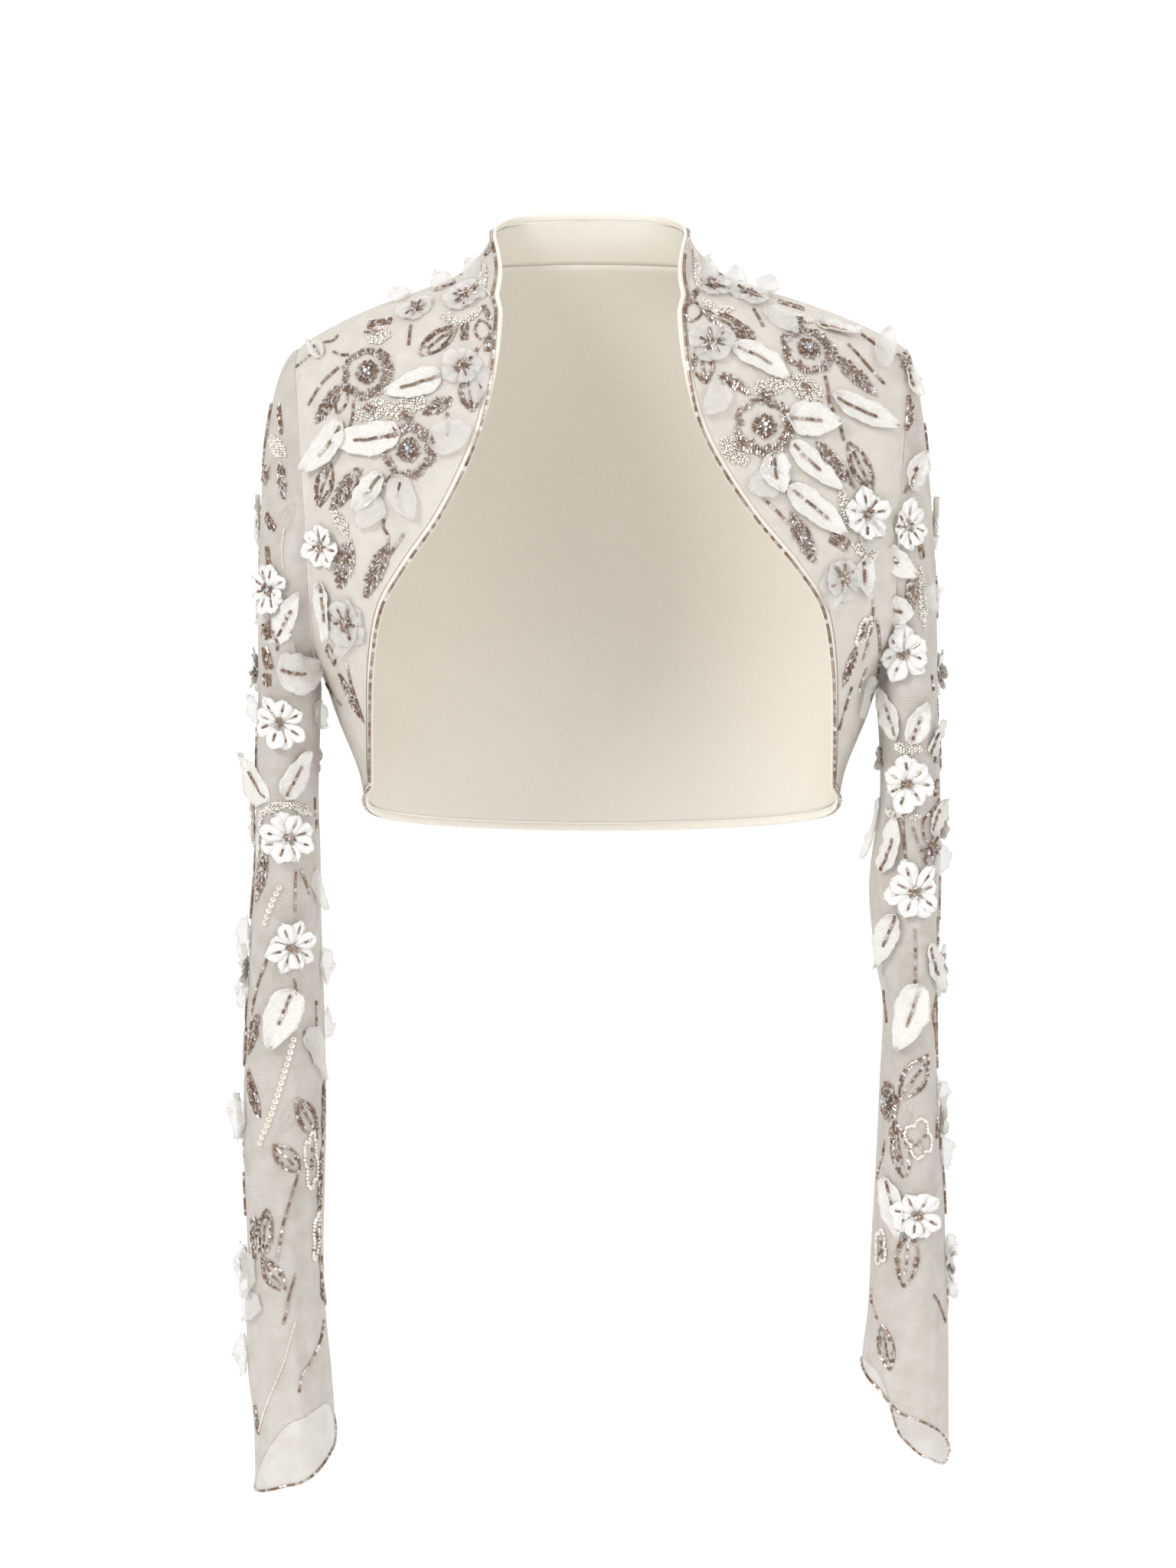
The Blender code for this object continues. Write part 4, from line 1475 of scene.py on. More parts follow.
    def round_thing(self, what: str, patch: Patch, at: Spot, width: float, height: float) -> None:
        """Sews on a pearl, sequin or stone.

        Args:
            what: which of them.
            patch: where it is sewn.
            at: its place in the patch, across and along.
            width: its width.
            height: of its middle above the cloth.
        """
        place, normal = patch.lay(*at, height)
        size = (width / 2,) * 3
        self.sprinkle(what, patch.cloth).put(place, patch.along, normal, size, float(DRAW.uniform()))

    def filled_leaf(self, patch: Patch) -> None:
        """A leaf filled with beads that lie like a feather's barbs.

        Args:
            patch: its place, direction and size.
        """
        length, width = patch.length, patch.width
        step, pitch, bare = 1.75, 1.5, 0.1
        barb_lean, lean_spread, height, more_height = 22, 24, 0.6, 0.6
        half = length / 2
        bright = DRAW.uniform(0.9, 1.7)
        for along in np.arange(-half + 0.8, half - 0.3, step):
            share = (along + half) / length
            reach = width / 2 * math.sin(math.pi * share**0.85) ** 0.75
            count = max(1, round(2 * reach / pitch))
            for k in range(count):
                across = (k - (count - 1) / 2) * pitch + jitter(0.2)
                lean = math.copysign(barb_lean, across) + jitter(lean_spread)
                lift = height + DRAW.uniform(0, more_height)
                tone = draw_tone(bright, 1.3)
                if DRAW.uniform() > bare:
                    self.bead(patch, across, along + jitter(0.3), lean, lift, 2.0, 1.35, tone=tone)

    def open_leaf(self, patch: Patch) -> None:
        """A leaf outlined in beads, with some more inside the outline and a vein.

        Args:
            patch: its place, direction and size.
        """
        length, width = patch.length, patch.width
        edge_step, vein_step, inner_chance, inner_gap, inner_lean = 2.2, 2.1, 0.8, 1.6, 30
        half, wide = length / 2, width / 2
        for sign in (-1, 1):
            for share in np.arange(0.03, 0.99, edge_step / length):
                reach = wide * math.sin(math.pi * share) ** 0.8
                slope = math.degrees(math.atan2(math.cos(math.pi * share) * wide * 3, length))
                along = (share - 0.5) * length
                self.bead(patch, sign * reach, along, sign * slope + jitter(12))
                if 0.12 < share < 0.85 and DRAW.uniform() < inner_chance:
                    inner = sign * max(reach - inner_gap, 0.8)
                    self.bead(patch, inner, along, sign * inner_lean + jitter(20), length=1.9)
        for along in np.arange(-half * 0.7, half * 0.6, vein_step):
            self.bead(patch, jitter(0.2), along, jitter(10))

    def loop(self, patch: Patch) -> None:
        """One closed round of beads, pointed at both ends.

        Args:
            patch: its place, direction and size.
        """
        length, width = patch.length, patch.width
        step = 2.3
        for sign in (-1, 1):
            for share in np.arange(0.04, 0.98, step / length):
                reach = width / 2 * math.sin(math.pi * share) ** 0.8
                slope = math.degrees(math.atan2(math.cos(math.pi * share) * width * 1.5, length))
                self.bead(patch, sign * reach, (share - 0.5) * length, sign * slope, length=2.1)

    def star(self, patch: Patch, reach: float, rays: int = 8, height: float = 1.2) -> None:
        """Beads that stand out from a middle like stamens.

        Args:
            patch: its middle.
            reach: of each ray.
            rays: how many.
            height: of the beads above the cloth.
        """
        first, step, rise = 2.0, 2.2, 0.12
        middle_count, middle_spread, middle_lift = 11, 1.5, 0.9
        for ray in range(rays):
            turn = 360 * ray / rays + jitter(9)
            far = reach * DRAW.uniform(0.7, 1.15)
            for out in np.arange(first, far, step):
                self.bead(patch, *polar(out, turn), turn + jitter(8), height + rise * out)
        for _ in range(middle_count):
            at = DRAW.normal(0, middle_spread, 2)
            self.bead(patch, *at, DRAW.uniform(0, 180), height + middle_lift)

    def bar(self, patch: Patch, height: float = 0.7) -> None:
        """A short block of beads side by side.

        Args:
            patch: its place, direction and size.
            height: of the beads above the cloth.
        """
        length, width = patch.length, patch.width
        pitch, step = 1.5, 2.2
        for across in np.arange(-width / 2, width / 2 + 0.1, pitch):
            for along in np.arange(-length / 2, length / 2 + 0.1, step):
                off = DRAW.normal(0, 0.25, 2)
                self.bead(patch, across + off[0], along + off[1], jitter(14), height)

    def rosette(self, patch: Patch) -> None:
        """An uneven ring of beads round plain net, with an eye in the middle.

        Args:
            patch: its middle and reach.
        """
        lobes, rows, pitch, spacing = 7, 5, 1.5, 1.9
        fewest, more, uneven = 1.9, 1.9, 0.4
        lobe_depth, lobe_foot = 0.13, 0.09
        thin, first = DRAW.uniform(0, 360), DRAW.uniform(0, 360)
        for row in range(rows):
            radius = patch.length - 0.5 - pitch * row
            count = round(2 * math.pi * radius / spacing)
            for k in range(count):
                turn = 360 * (k + 0.5 * (row % 2)) / count
                fullness = 0.5 + 0.5 * math.cos(math.radians(turn - thin))
                if row > fewest + more * fullness + jitter(uneven):
                    continue
                lobe = abs(math.sin(math.radians((turn - first) * lobes / 2)))
                out = radius * (1 + lobe_depth * lobe - lobe_foot) + jitter(0.4)
                lie, lift = turn + jitter(50), 0.8 + DRAW.uniform(0, 0.6)
                tone = draw_tone(1.8, 1.6)
                self.bead(patch, *polar(out, turn), lie, lift, 1.9, 1.25, tone=tone)
        self.eye(patch)

    def eye(self, patch: Patch) -> None:
        """A rosette's eye: a dome of beads, with one large stone on it and five small ones.

        Args:
            patch: its middle.
        """
        spacing, dome, slope = 1.8, 2.6, 0.22
        stones, stone_ring, stone_width, stone_height = 5, 3.0, 1.9, 3.3
        for radius in (2.1, 3.6, 5.0, 6.2):
            count = round(2 * math.pi * radius / spacing)
            for k in range(count):
                turn = 360 * k / count + jitter(6)
                at = polar(radius + jitter(0.4), turn)
                lie = turn + jitter(30)
                tone = draw_tone(1.0, 2.4)
                self.bead(patch, *at, lie, dome - slope * radius, 2.1, 1.4, tone=tone)
        self.round_thing("stones", patch, (0, 0.6), 4.2, 3.4)
        for k in range(stones):
            at = polar(stone_ring, 360 * k / stones + 40)
            self.round_thing("stones", patch, at, stone_width, stone_height)

    def petals(
        self, patch: Patch, reach: float, count: int, what: str, lift: float, cling: float,
        beaded: bool = False,
    ) -> None:
        """A round of overlapping petals.

        Args:
            patch: the flower's middle.
            reach: of each petal.
            count: how many petals.
            what: petals of satin, or organza.
            lift: how far their rims rise.
            cling: how closely they follow the cloth.
            beaded: whether each has a bar of two beads along its groove.
        """
        layer, next_layer = 0.5, 1.3
        first = DRAW.uniform(0, 360)
        for k in range(count):
            way = patch.turned(first + 360 * k / count + jitter(6))
            petal = Petal(
                far=reach * DRAW.uniform(0.76, 1.1),
                wide=math.pi * reach / count * DRAW.uniform(0.68, 0.88),
                rise=lift * DRAW.uniform(0.5, 1.7),
                notch=DRAW.uniform(0.0, 0.18),
                tilt=jitter(1.1),
                layer=layer + next_layer * (k % 2),
                rib=DRAW.uniform(0, 6),
            )
            self.cutting(what, patch.cloth).put(way, petal.form, cling)
            if beaded:
                share = DRAW.uniform(0.5, 0.62)
                for step in (-0.5, 0.5):
                    out = share * petal.far + step * self.bugle_length
                    _, _, height = petal.form(np.array([0.0]), np.array([out / petal.far]))
                    self.bead(way, jitter(0.25), out, jitter(10), height[0] + 0.6, cling=cling)

    def satin_flower(self, patch: Patch) -> None:
        """A raised satin flower with a bar of beads on each petal and a beaded middle.

        Args:
            patch: its middle and reach.
        """
        middle_count, middle_reach, middle_height, middle_cling = 13, 3.4, 3.0, 0.6
        count = 7 + int(DRAW.integers(0, 2))
        reach = self.flower_spread * patch.length
        self.petals(patch, reach, count, "petals", 2.6, self.petal_cling, True)
        for _ in range(middle_count):
            turn, out = DRAW.uniform(0, 360), middle_reach * math.sqrt(DRAW.uniform())
            lie, lift = DRAW.uniform(0, 180), middle_height + DRAW.uniform(0, 0.8)
            self.bead(patch, *polar(out, turn), lie, lift, cling=middle_cling)

    def organza_flower(self, patch: Patch) -> None:
        """A flower of thin organza with a star of beads.

        Args:
            patch: its middle and reach.
        """
        self.petals(patch, patch.length, 5, "organza", 1.4, self.organza_cling)
        self.star(patch, patch.length * 0.55, 10, 1.9)

    def cloth_leaf(self, patch: Patch, what: str = "leaves") -> None:
        """A cut leaf that is sewn down along its middle. One of crinkled cloth has beads on its vein.

        Args:
            patch: its place, direction and size.
            what: leaves of crinkled cloth, or organza.
        """
        leaf = Leaf(
            length=patch.length,
            width=patch.width,
            rise=DRAW.uniform(1.2, 3.2),
            curl=DRAW.uniform(0.8, 3.0),
            bend=jitter(0.04),
            wave=DRAW.uniform(0, 6),
        )
        self.cutting(what, patch.cloth).put(patch, leaf.form, self.free_cling)
        if what == "organza":
            return
        start, end = DRAW.uniform(0.06, 0.16), DRAW.uniform(0.6, 0.72)
        for share in np.arange(start, end, (self.bugle_length + self.bead_gap) / patch.length):
            a, b, h = leaf.form(np.array([0.0]), np.array([share]))
            self.bead(
                patch, a[0] + jitter(0.15), b[0], jitter(5), h[0] + 0.75,
                self.bugle_length, self.bugle_width, self.free_cling,
            )

    def pearls(self, patch: Patch) -> None:
        """A crowded patch of small pearls.

        Args:
            patch: its place, direction and size.
        """
        length, width = patch.length, patch.width
        pitch = self.pearl_width * self.pearl_crowding
        for row, along in enumerate(np.arange(-length / 2, length / 2 + 0.1, pitch * self.row_nesting)):
            for across in np.arange(-width / 2, width / 2 + 0.1, pitch):
                a = across + (row % 2) * pitch / 2 + jitter(0.2)
                b = along + jitter(0.2)
                if (2 * a / width) ** 2 + (2 * b / length) ** 2 < 1 + jitter(0.12):
                    size = self.pearl_width * DRAW.uniform(0.75, 1.05)
                    self.round_thing("pearls", patch, (a, b), size, size / 2 + DRAW.uniform(0, 0.3))

    def pearl_loop(self, patch: Patch) -> None:
        """A closed round of pearls with a few beads inside.

        Args:
            patch: its place, direction and size.
        """
        length, width = patch.length, patch.width
        waist_depth, inner_count, inner_spread = 0.3, 7, 0.14
        round_about = math.pi * (length + width) / 2
        for k in range(int(round_about / (self.pearl_width * self.loop_crowding))):
            turn = 2 * math.pi * k * self.pearl_width * self.loop_crowding / round_about
            waist = 1 - waist_depth * math.cos(2 * turn + 0.6) ** 4
            across = width / 2 * math.sin(turn) * waist + jitter(0.25)
            along = length / 2 * math.cos(turn) * waist + jitter(0.25)
            self.round_thing("pearls", patch, (across, along), self.pearl_width * 1.15, 1.0)
        for _ in range(inner_count):
            a, b = jitter(width * inner_spread), jitter(length * inner_spread)
            self.bead(patch, a, b, DRAW.uniform(0, 180))

    def mark(self, patch: Patch, kind: Sewn) -> None:
        """Sews on one trimming.

        Args:
            patch: its place, direction and size.
            kind: what it is.
        """
        makers = {
            Sewn.SATIN_FLOWER: self.satin_flower,
            Sewn.ORGANZA_FLOWER: self.organza_flower,
            Sewn.ROSETTE: self.rosette,
            Sewn.CLOTH_LEAF: self.cloth_leaf,
            Sewn.ORGANZA_LEAF: lambda patch: self.cloth_leaf(patch, "organza"),
            Sewn.FILLED_LEAF: self.filled_leaf,
            Sewn.OPEN_LEAF: self.open_leaf,
            Sewn.LOOP: self.loop,
            Sewn.STAR: lambda patch: self.star(patch, patch.length),
            Sewn.BAR: self.bar,
            Sewn.PEARL_BAR: lambda patch: self.bar(patch, 2.0),
            Sewn.PEARLS: self.pearls,
            Sewn.PEARL_LOOP: self.pearl_loop,
        }
        makers[kind](patch)

    def sew_line(self, kind: Line, pixels: Sequence[Pixel]) -> None:
        """Sews a line of trimming through its pixels.

        Args:
            kind: what is threaded.
            pixels: that the line runs through.
        """
        found = [hit for px, py in pixels if (hit := self.photo_hit(px, py))]
        self.thread(found[0][0], np.array([place for _, place, _ in found]), kind)

    def thread(self, cloth: Cloth, route: Array, kind: Line, height: float = 0.6) -> None:
        """Threads beads along a route on a cloth.

        Args:
            cloth: what they are sewn to.
            route: points on it.
            kind: what is threaded.
            height: of their middles above the cloth.
        """
        along = run_along(route)
        tube = tube_size(self.bugle_length, self.bugle_width)
        disc, ball = (self.sequin_width / 2,) * 3, (self.seed_width / 2,) * 3
        strung = {
            Line.STEM: ("beads", self.bugle_length + self.bead_gap, tube, height),
            Line.DASHES: ("beads", self.bugle_length * 1.7, tube, height),
            Line.SEQUINS: ("sequins", self.sequin_width * 1.05, disc, height + self.sequin_lift),
            Line.SEEDS: ("pearls", self.seed_width * 1.02, ball, height),
        }
        what, step, size, lift = strung[kind]
        lines = [Profile(along, route[:, k]) for k in range(3)]
        for at in np.arange(step / 2, along[-1], step):
            point = Vector([float(line.at(at)) for line in lines])
            ahead = Vector([float(line.at(at + 0.5)) - float(line.at(at - 0.5)) for line in lines])
            place, normal = cloth.nearest(point)
            tone = draw_tone(1.6, 1.9)
            self.sprinkle(what, cloth).put(
                place + normal * lift, ahead.normalized(), normal, size, tone
            )

    def pieces(self, tailor: Tailor) -> None:
        """Makes everything that was sewn on into pieces.

        Args:
            tailor: who makes them.
        """
        hard = {"beads": BEAD_GLASS, "pearls": PEARL, "sequins": SEQUIN, "stones": STONE}
        soft = {"petals": PETAL_SATIN, "leaves": LEAF_CLOQUE, "organza": ORGANZA}
        for (what, cloth), sprinkle in self.sprinkles.items():
            name = f"{what}_{cloth}"
            tailor.piece(name, sprinkle.mesh(name), hard[what], smooth=what == "pearls")
        for (what, cloth), cuttings in self.cuttings.items():
            name = f"{what}_{cloth}"
            thin = 0.15 if what == "organza" else 0.4
            tailor.piece(name, cuttings.mesh(name), soft[what], thickness=thin)


# By kind: the photograph's pixel at the middle, and the reach in millimetres.
ROUND_THINGS: dict[Sewn, tuple[tuple[Pixel, float], ...]] = {
    Sewn.ROSETTE: (
        ((480, 487), 16.2), ((534, 588), 16.2), ((1056, 456), 16.6), ((998, 557), 17.6),
        ((1160, 1438), 11.5),
    ),
    Sewn.ORGANZA_FLOWER: (
        ((609, 388), 15), ((543, 405), 13), ((604, 478), 13), ((453, 814), 15), ((930, 373), 14),
        ((980, 387), 15), ((929, 449), 15), ((1101, 757), 15),
    ),
    Sewn.SATIN_FLOWER: (
        ((421, 714), 12.5), ((1132, 672), 14.5), ((353, 769), 13.5), ((365, 944), 16), ((376, 1095), 17),
        ((382, 1237), 15), ((1184, 688), 14), ((1181, 853), 16), ((1186, 1023), 17.4),
        ((1196, 1165), 17.8), ((1197, 1586), 15.5),
    ),
    Sewn.STAR: (
        ((349, 619), 7), ((350, 824), 6), ((1183, 476), 8), ((1215, 1106), 9),
    ),
}

# By kind: the pixels of the root and of the tip, and the width in millimetres.
LONG_THINGS: dict[Sewn, tuple[tuple[Pixel, Pixel, float], ...]] = {
    Sewn.ORGANZA_LEAF: (
        ((560, 580), (620, 560), 20), ((500, 650), (470, 690), 18), ((515, 620), (545, 680), 16),
        ((455, 780), (440, 860), 15), ((640, 480), (622, 530), 12), ((616, 376), (610, 342), 14),
        ((584, 386), (572, 356), 14), ((530, 396), (520, 376), 14), ((945, 500), (920, 545), 16),
        ((1000, 400), (1040, 440), 16), ((1020, 620), (975, 640), 18), ((1120, 700), (1148, 700), 18),
        ((1150, 480), (1160, 430), 14), ((1090, 740), (1080, 800), 16), ((1135, 880), (1118, 935), 12),
        ((918, 372), (925, 338), 14), ((950, 384), (962, 352), 14), ((1000, 388), (1012, 366), 14),
        ((352, 790), (338, 814), 14), ((345, 938), (326, 908), 14), ((404, 920), (420, 950), 16),
        ((402, 1138), (424, 1188), 17), ((330, 1228), (309, 1222), 28), ((330, 1290), (312, 1294), 24),
        ((413, 1262), (432, 1262), 22), ((414, 1338), (433, 1336), 20), ((400, 1342), (421, 1410), 18),
        ((324, 1466), (301, 1450), 26), ((336, 1672), (308, 1652), 30), ((338, 1690), (323, 1724), 18),
        ((332, 1765), (314, 1772), 26), ((1206, 790), (1220, 770), 18), ((1152, 1042), (1131, 1122), 14),
        ((1214, 1132), (1236, 1112), 18), ((1222, 1510), (1245, 1500), 20),
        ((1222, 1430), (1237, 1428), 18), ((1230, 1635), (1244, 1628), 20),
        ((1232, 1672), (1247, 1694), 12),
    ),
    Sewn.CLOTH_LEAF: (
        ((423, 468), (406, 447), 8), ((578, 490), (503, 514), 17), ((449, 550), (399, 617), 18),
        ((524, 565), (434, 575), 20), ((500, 618), (463, 668), 14), ((420, 760), (432, 835), 12),
        ((1066, 425), (1122, 440), 10.5), ((957, 452), (1028, 496), 16), ((1028, 545), (1096, 552), 20),
        ((1086, 516), (1172, 558), 15), ((1012, 590), (1022, 644), 17), ((1032, 577), (1100, 640), 14),
        ((1028, 635), (1102, 698), 17), ((1128, 728), (1132, 780), 12), ((362, 838), (392, 773), 14),
        ((358, 874), (424, 873), 24), ((361, 1042), (311, 984), 20), ((371, 1042), (398, 979), 18),
        ((383, 1290), (353, 1368), 21), ((1182, 480), (1196, 520), 12), ((1188, 640), (1205, 590), 15),
        ((1149, 716), (1198, 750), 15), ((1156, 792), (1194, 798), 19), ((1172, 966), (1150, 896), 16),
        ((1190, 970), (1208, 916), 13), ((1212, 986), (1228, 940), 12), ((1150, 1138), (1174, 1067), 16),
        ((1214, 1088), (1228, 1046), 13), ((1172, 1194), (1146, 1263), 15),
        ((1210, 1232), (1230, 1296), 13), ((1202, 1284), (1171, 1370), 21),
        ((1156, 1536), (1176, 1616), 15),
    ),
    Sewn.BAR: (
        ((483, 424), (512, 419), 4.5), ((571, 379), (596, 370), 2.5), ((632, 402), (639, 419), 2.5),
        ((607, 425), (606, 443), 3.5), ((637, 443), (638, 460), 3), ((1019, 395), (1049, 404), 4.5),
        ((908, 380), (903, 393), 2.5), ((1086, 702), (1106, 714), 7), ((354, 530), (350, 568), 4),
        ((364, 531), (367, 566), 2.5), ((348, 676), (358, 691), 5), ((349, 717), (352, 741), 3.5),
        ((346, 848), (351, 873), 7), ((348, 883), (348, 896), 7), ((412, 1074), (413, 1086), 3),
        ((335, 1838), (338, 1872), 1.5), ((1201, 708), (1204, 730), 3.5), ((1222, 984), (1221, 998), 5),
        ((1222, 1022), (1223, 1036), 6), ((1224, 1460), (1224, 1484), 5),
    ),
    Sewn.FILLED_LEAF: (
        ((635, 338), (652, 298), 6), ((590, 521), (552, 541), 9), ((447, 501), (410, 556), 9.5),
        ((471, 611), (432, 668), 11.5), ((457, 706), (443, 770), 13.5), ((506, 712), (476, 782), 11),
        ((444, 878), (472, 939), 7.5), ((905, 321), (891, 295), 6), ((955, 424), (986, 442), 9),
        ((939, 488), (984, 516), 8), ((1090, 464), (1144, 516), 11), ((1066, 577), (1117, 637), 9),
        ((1032, 668), (1066, 738), 10), ((1118, 845), (1100, 896), 7), ((366, 603), (371, 651), 6.5),
        ((348, 1112), (334, 1178), 12), ((338, 1325), (323, 1378), 10), ((420, 1411), (423, 1500), 8),
        ((418, 1500), (416, 1590), 7), ((417, 1640), (421, 1700), 5),
        ((333, 1586), (334, 1648), 9), ((415, 1604), (416, 1640), 4.5), ((1186, 516), (1184, 563), 10),
        ((1190, 749), (1190, 801), 9), ((1152, 976), (1153, 1004), 5), ((1164, 1472), (1172, 1520), 7),
    ),
    Sewn.LOOP: (
        ((634, 446), (627, 418), 9), ((452, 508), (441, 540), 7.5), ((430, 842), (436, 868), 7),
        ((902, 420), (908, 394), 10),
    ),
    Sewn.OPEN_LEAF: (
        ((597, 426), (547, 464), 12.5), ((617, 537), (612, 488), 13), ((431, 606), (414, 663), 12),
        ((918, 405), (984, 442), 11), ((921, 500), (915, 452), 12.5), ((1108, 578), (1139, 642), 12.5),
        ((323, 1397), (338, 1460), 9), ((388, 1436), (417, 1487), 13), ((357, 1496), (393, 1530), 12),
        ((349, 1580), (342, 1641), 12), ((338, 1642), (372, 1686), 11.5),
        ((1174, 1435), (1217, 1379), 16), ((1168, 1464), (1182, 1539), 13),
        ((1188, 1608), (1180, 1680), 14), ((1153, 1730), (1162, 1789), 11.5),
    ),
    Sewn.PEARLS: (
        ((486, 430), (504, 446), 14), ((634, 346), (627, 396), 5.5), ((574, 411), (602, 424), 6),
        ((599, 425), (630, 404), 6), ((462, 541), (512, 530), 13), ((505, 542), (556, 520), 13),
        ((436, 666), (456, 702), 7), ((436, 720), (432, 745), 4), ((907, 324), (911, 376), 5),
        ((919, 391), (934, 409), 6), ((930, 410), (958, 402), 6), ((1022, 411), (1060, 420), 8),
        ((983, 510), (1032, 500), 11), ((1030, 492), (1072, 524), 15), ((944, 572), (976, 606), 15),
        ((1098, 636), (1108, 690), 7), ((1112, 712), (1148, 726), 8), ((353, 572), (372, 596), 9),
        ((340, 1062), (376, 1048), 6), ((374, 1048), (411, 1064), 6), ((344, 1058), (340, 1080), 5),
        ((340, 1086), (338, 1120), 6), ((1202, 738), (1206, 822), 6), ((1165, 976), (1207, 978), 8),
        ((1154, 1060), (1178, 1066), 5), ((1182, 1066), (1204, 1064), 6),
    ),
    Sewn.PEARL_BAR: (
        ((480, 533), (489, 537), 3), ((528, 542), (537, 546), 3), ((482, 434), (492, 437), 3),
        ((1035, 419), (1045, 421), 3), ((1047, 505), (1056, 512), 4), ((995, 514), (1008, 518), 4),
        ((962, 574), (967, 590), 4),
    ),
    Sewn.PEARL_LOOP: (
        ((1135, 804), (1120, 842), 9), ((404, 1478), (408, 1553), 11), ((413, 1582), (411, 1646), 6),
        ((1196, 1461), (1206, 1513), 18), ((1152, 1604), (1150, 1653), 11),
    ),
}

# By kind: the pixels that each line runs through.
PHOTO_LINES: dict[Line, tuple[tuple[Pixel, ...], ...]] = {
    Line.STEM: (
        ((537, 425), (534, 451)), ((423, 448), (436, 445), (443, 437)),
        ((436, 460), (448, 464), (461, 463)), ((443, 480), (421, 501), (404, 528)),
        ((462, 523), (461, 544), (455, 564)), ((584, 539), (586, 553), (585, 571)),
        ((626, 451), (620, 464)), ((511, 621), (496, 640), (480, 657)),
        ((523, 630), (520, 651), (523, 666)), ((502, 678), (501, 688), (507, 700), (507, 716)),
        ((528, 697), (508, 727)), ((426, 783), (429, 815)), ((453, 864), (459, 892), (475, 941)),
        ((427, 892), (438, 911), (446, 920)), ((984, 404), (997, 428)),
        ((1122, 435), (1142, 450), (1152, 456)), ((1107, 450), (1119, 462), (1132, 477), (1154, 501)),
        ((1077, 491), (1081, 509), (1082, 524), (1088, 537)), ((1095, 549), (1099, 563), (1102, 577)),
        ((1008, 591), (1002, 631)), ((1034, 628), (1028, 640)), ((996, 651), (1012, 665), (1030, 685)),
        ((1140, 782), (1139, 810), (1132, 843), (1126, 863)), ((1131, 873), (1121, 902)),
        ((1112, 897), (1095, 953)), ((356, 830), (362, 838), (362, 852)), ((410, 1042), (411, 1066)),
        ((386, 1138), (385, 1154), (385, 1190)), ((393, 1136), (404, 1170)),
        ((351, 1237), (348, 1255), (338, 1284), (329, 1327)), ((384, 1278), (387, 1296)),
        ((396, 1347), (409, 1388)), ((412, 1307), (413, 1344)),
        ((389, 1534), (379, 1568), (369, 1602), (365, 1627), (360, 1648)),
        ((386, 1663), (377, 1695), (374, 1715), (369, 1731)),
        ((422, 1724), (413, 1763), (403, 1783), (394, 1796), (390, 1819)), ((325, 1650), (329, 1695)),
        ((420, 1500), (418, 1560), (417, 1650), (424, 1705)), ((1195, 606), (1181, 644)),
        ((1144, 810), (1145, 884)), ((1216, 882), (1218, 900)),
        ((1180, 1072), (1182, 1106), (1184, 1139)),
        ((1192, 1080), (1200, 1105), (1210, 1130)),
        ((1225, 1044), (1211, 1064), (1205, 1074), (1207, 1099)),
        ((1144, 1273), (1155, 1294), (1156, 1308), (1159, 1334)), ((1224, 1197), (1224, 1235)),
        ((1222, 1300), (1218, 1327), (1221, 1350), (1222, 1371)),
        ((1156, 1489), (1154, 1507), (1151, 1518), (1146, 1539)), ((1227, 1486), (1227, 1500)),
        ((1219, 1691), (1228, 1708), (1234, 1726)),
    ),
    Line.DASHES: (
        ((387, 480), (398, 471), (409, 462)), ((1195, 1212), (1196, 1250), (1195, 1284)),
        ((1139, 1680), (1139, 1697), (1143, 1712), (1148, 1727)),
    ),
    Line.SEQUINS: (
        ((366, 1155), (354, 1184), (347, 1206)),
        ((384, 1353), (376, 1383), (367, 1414), (355, 1452), (340, 1495)),
    ),
    Line.SEEDS: (
        ((385, 1726), (373, 1773), (363, 1799), (348, 1837), (338, 1875)),
        ((372, 690), (369, 715), (371, 742)),
    ),
}


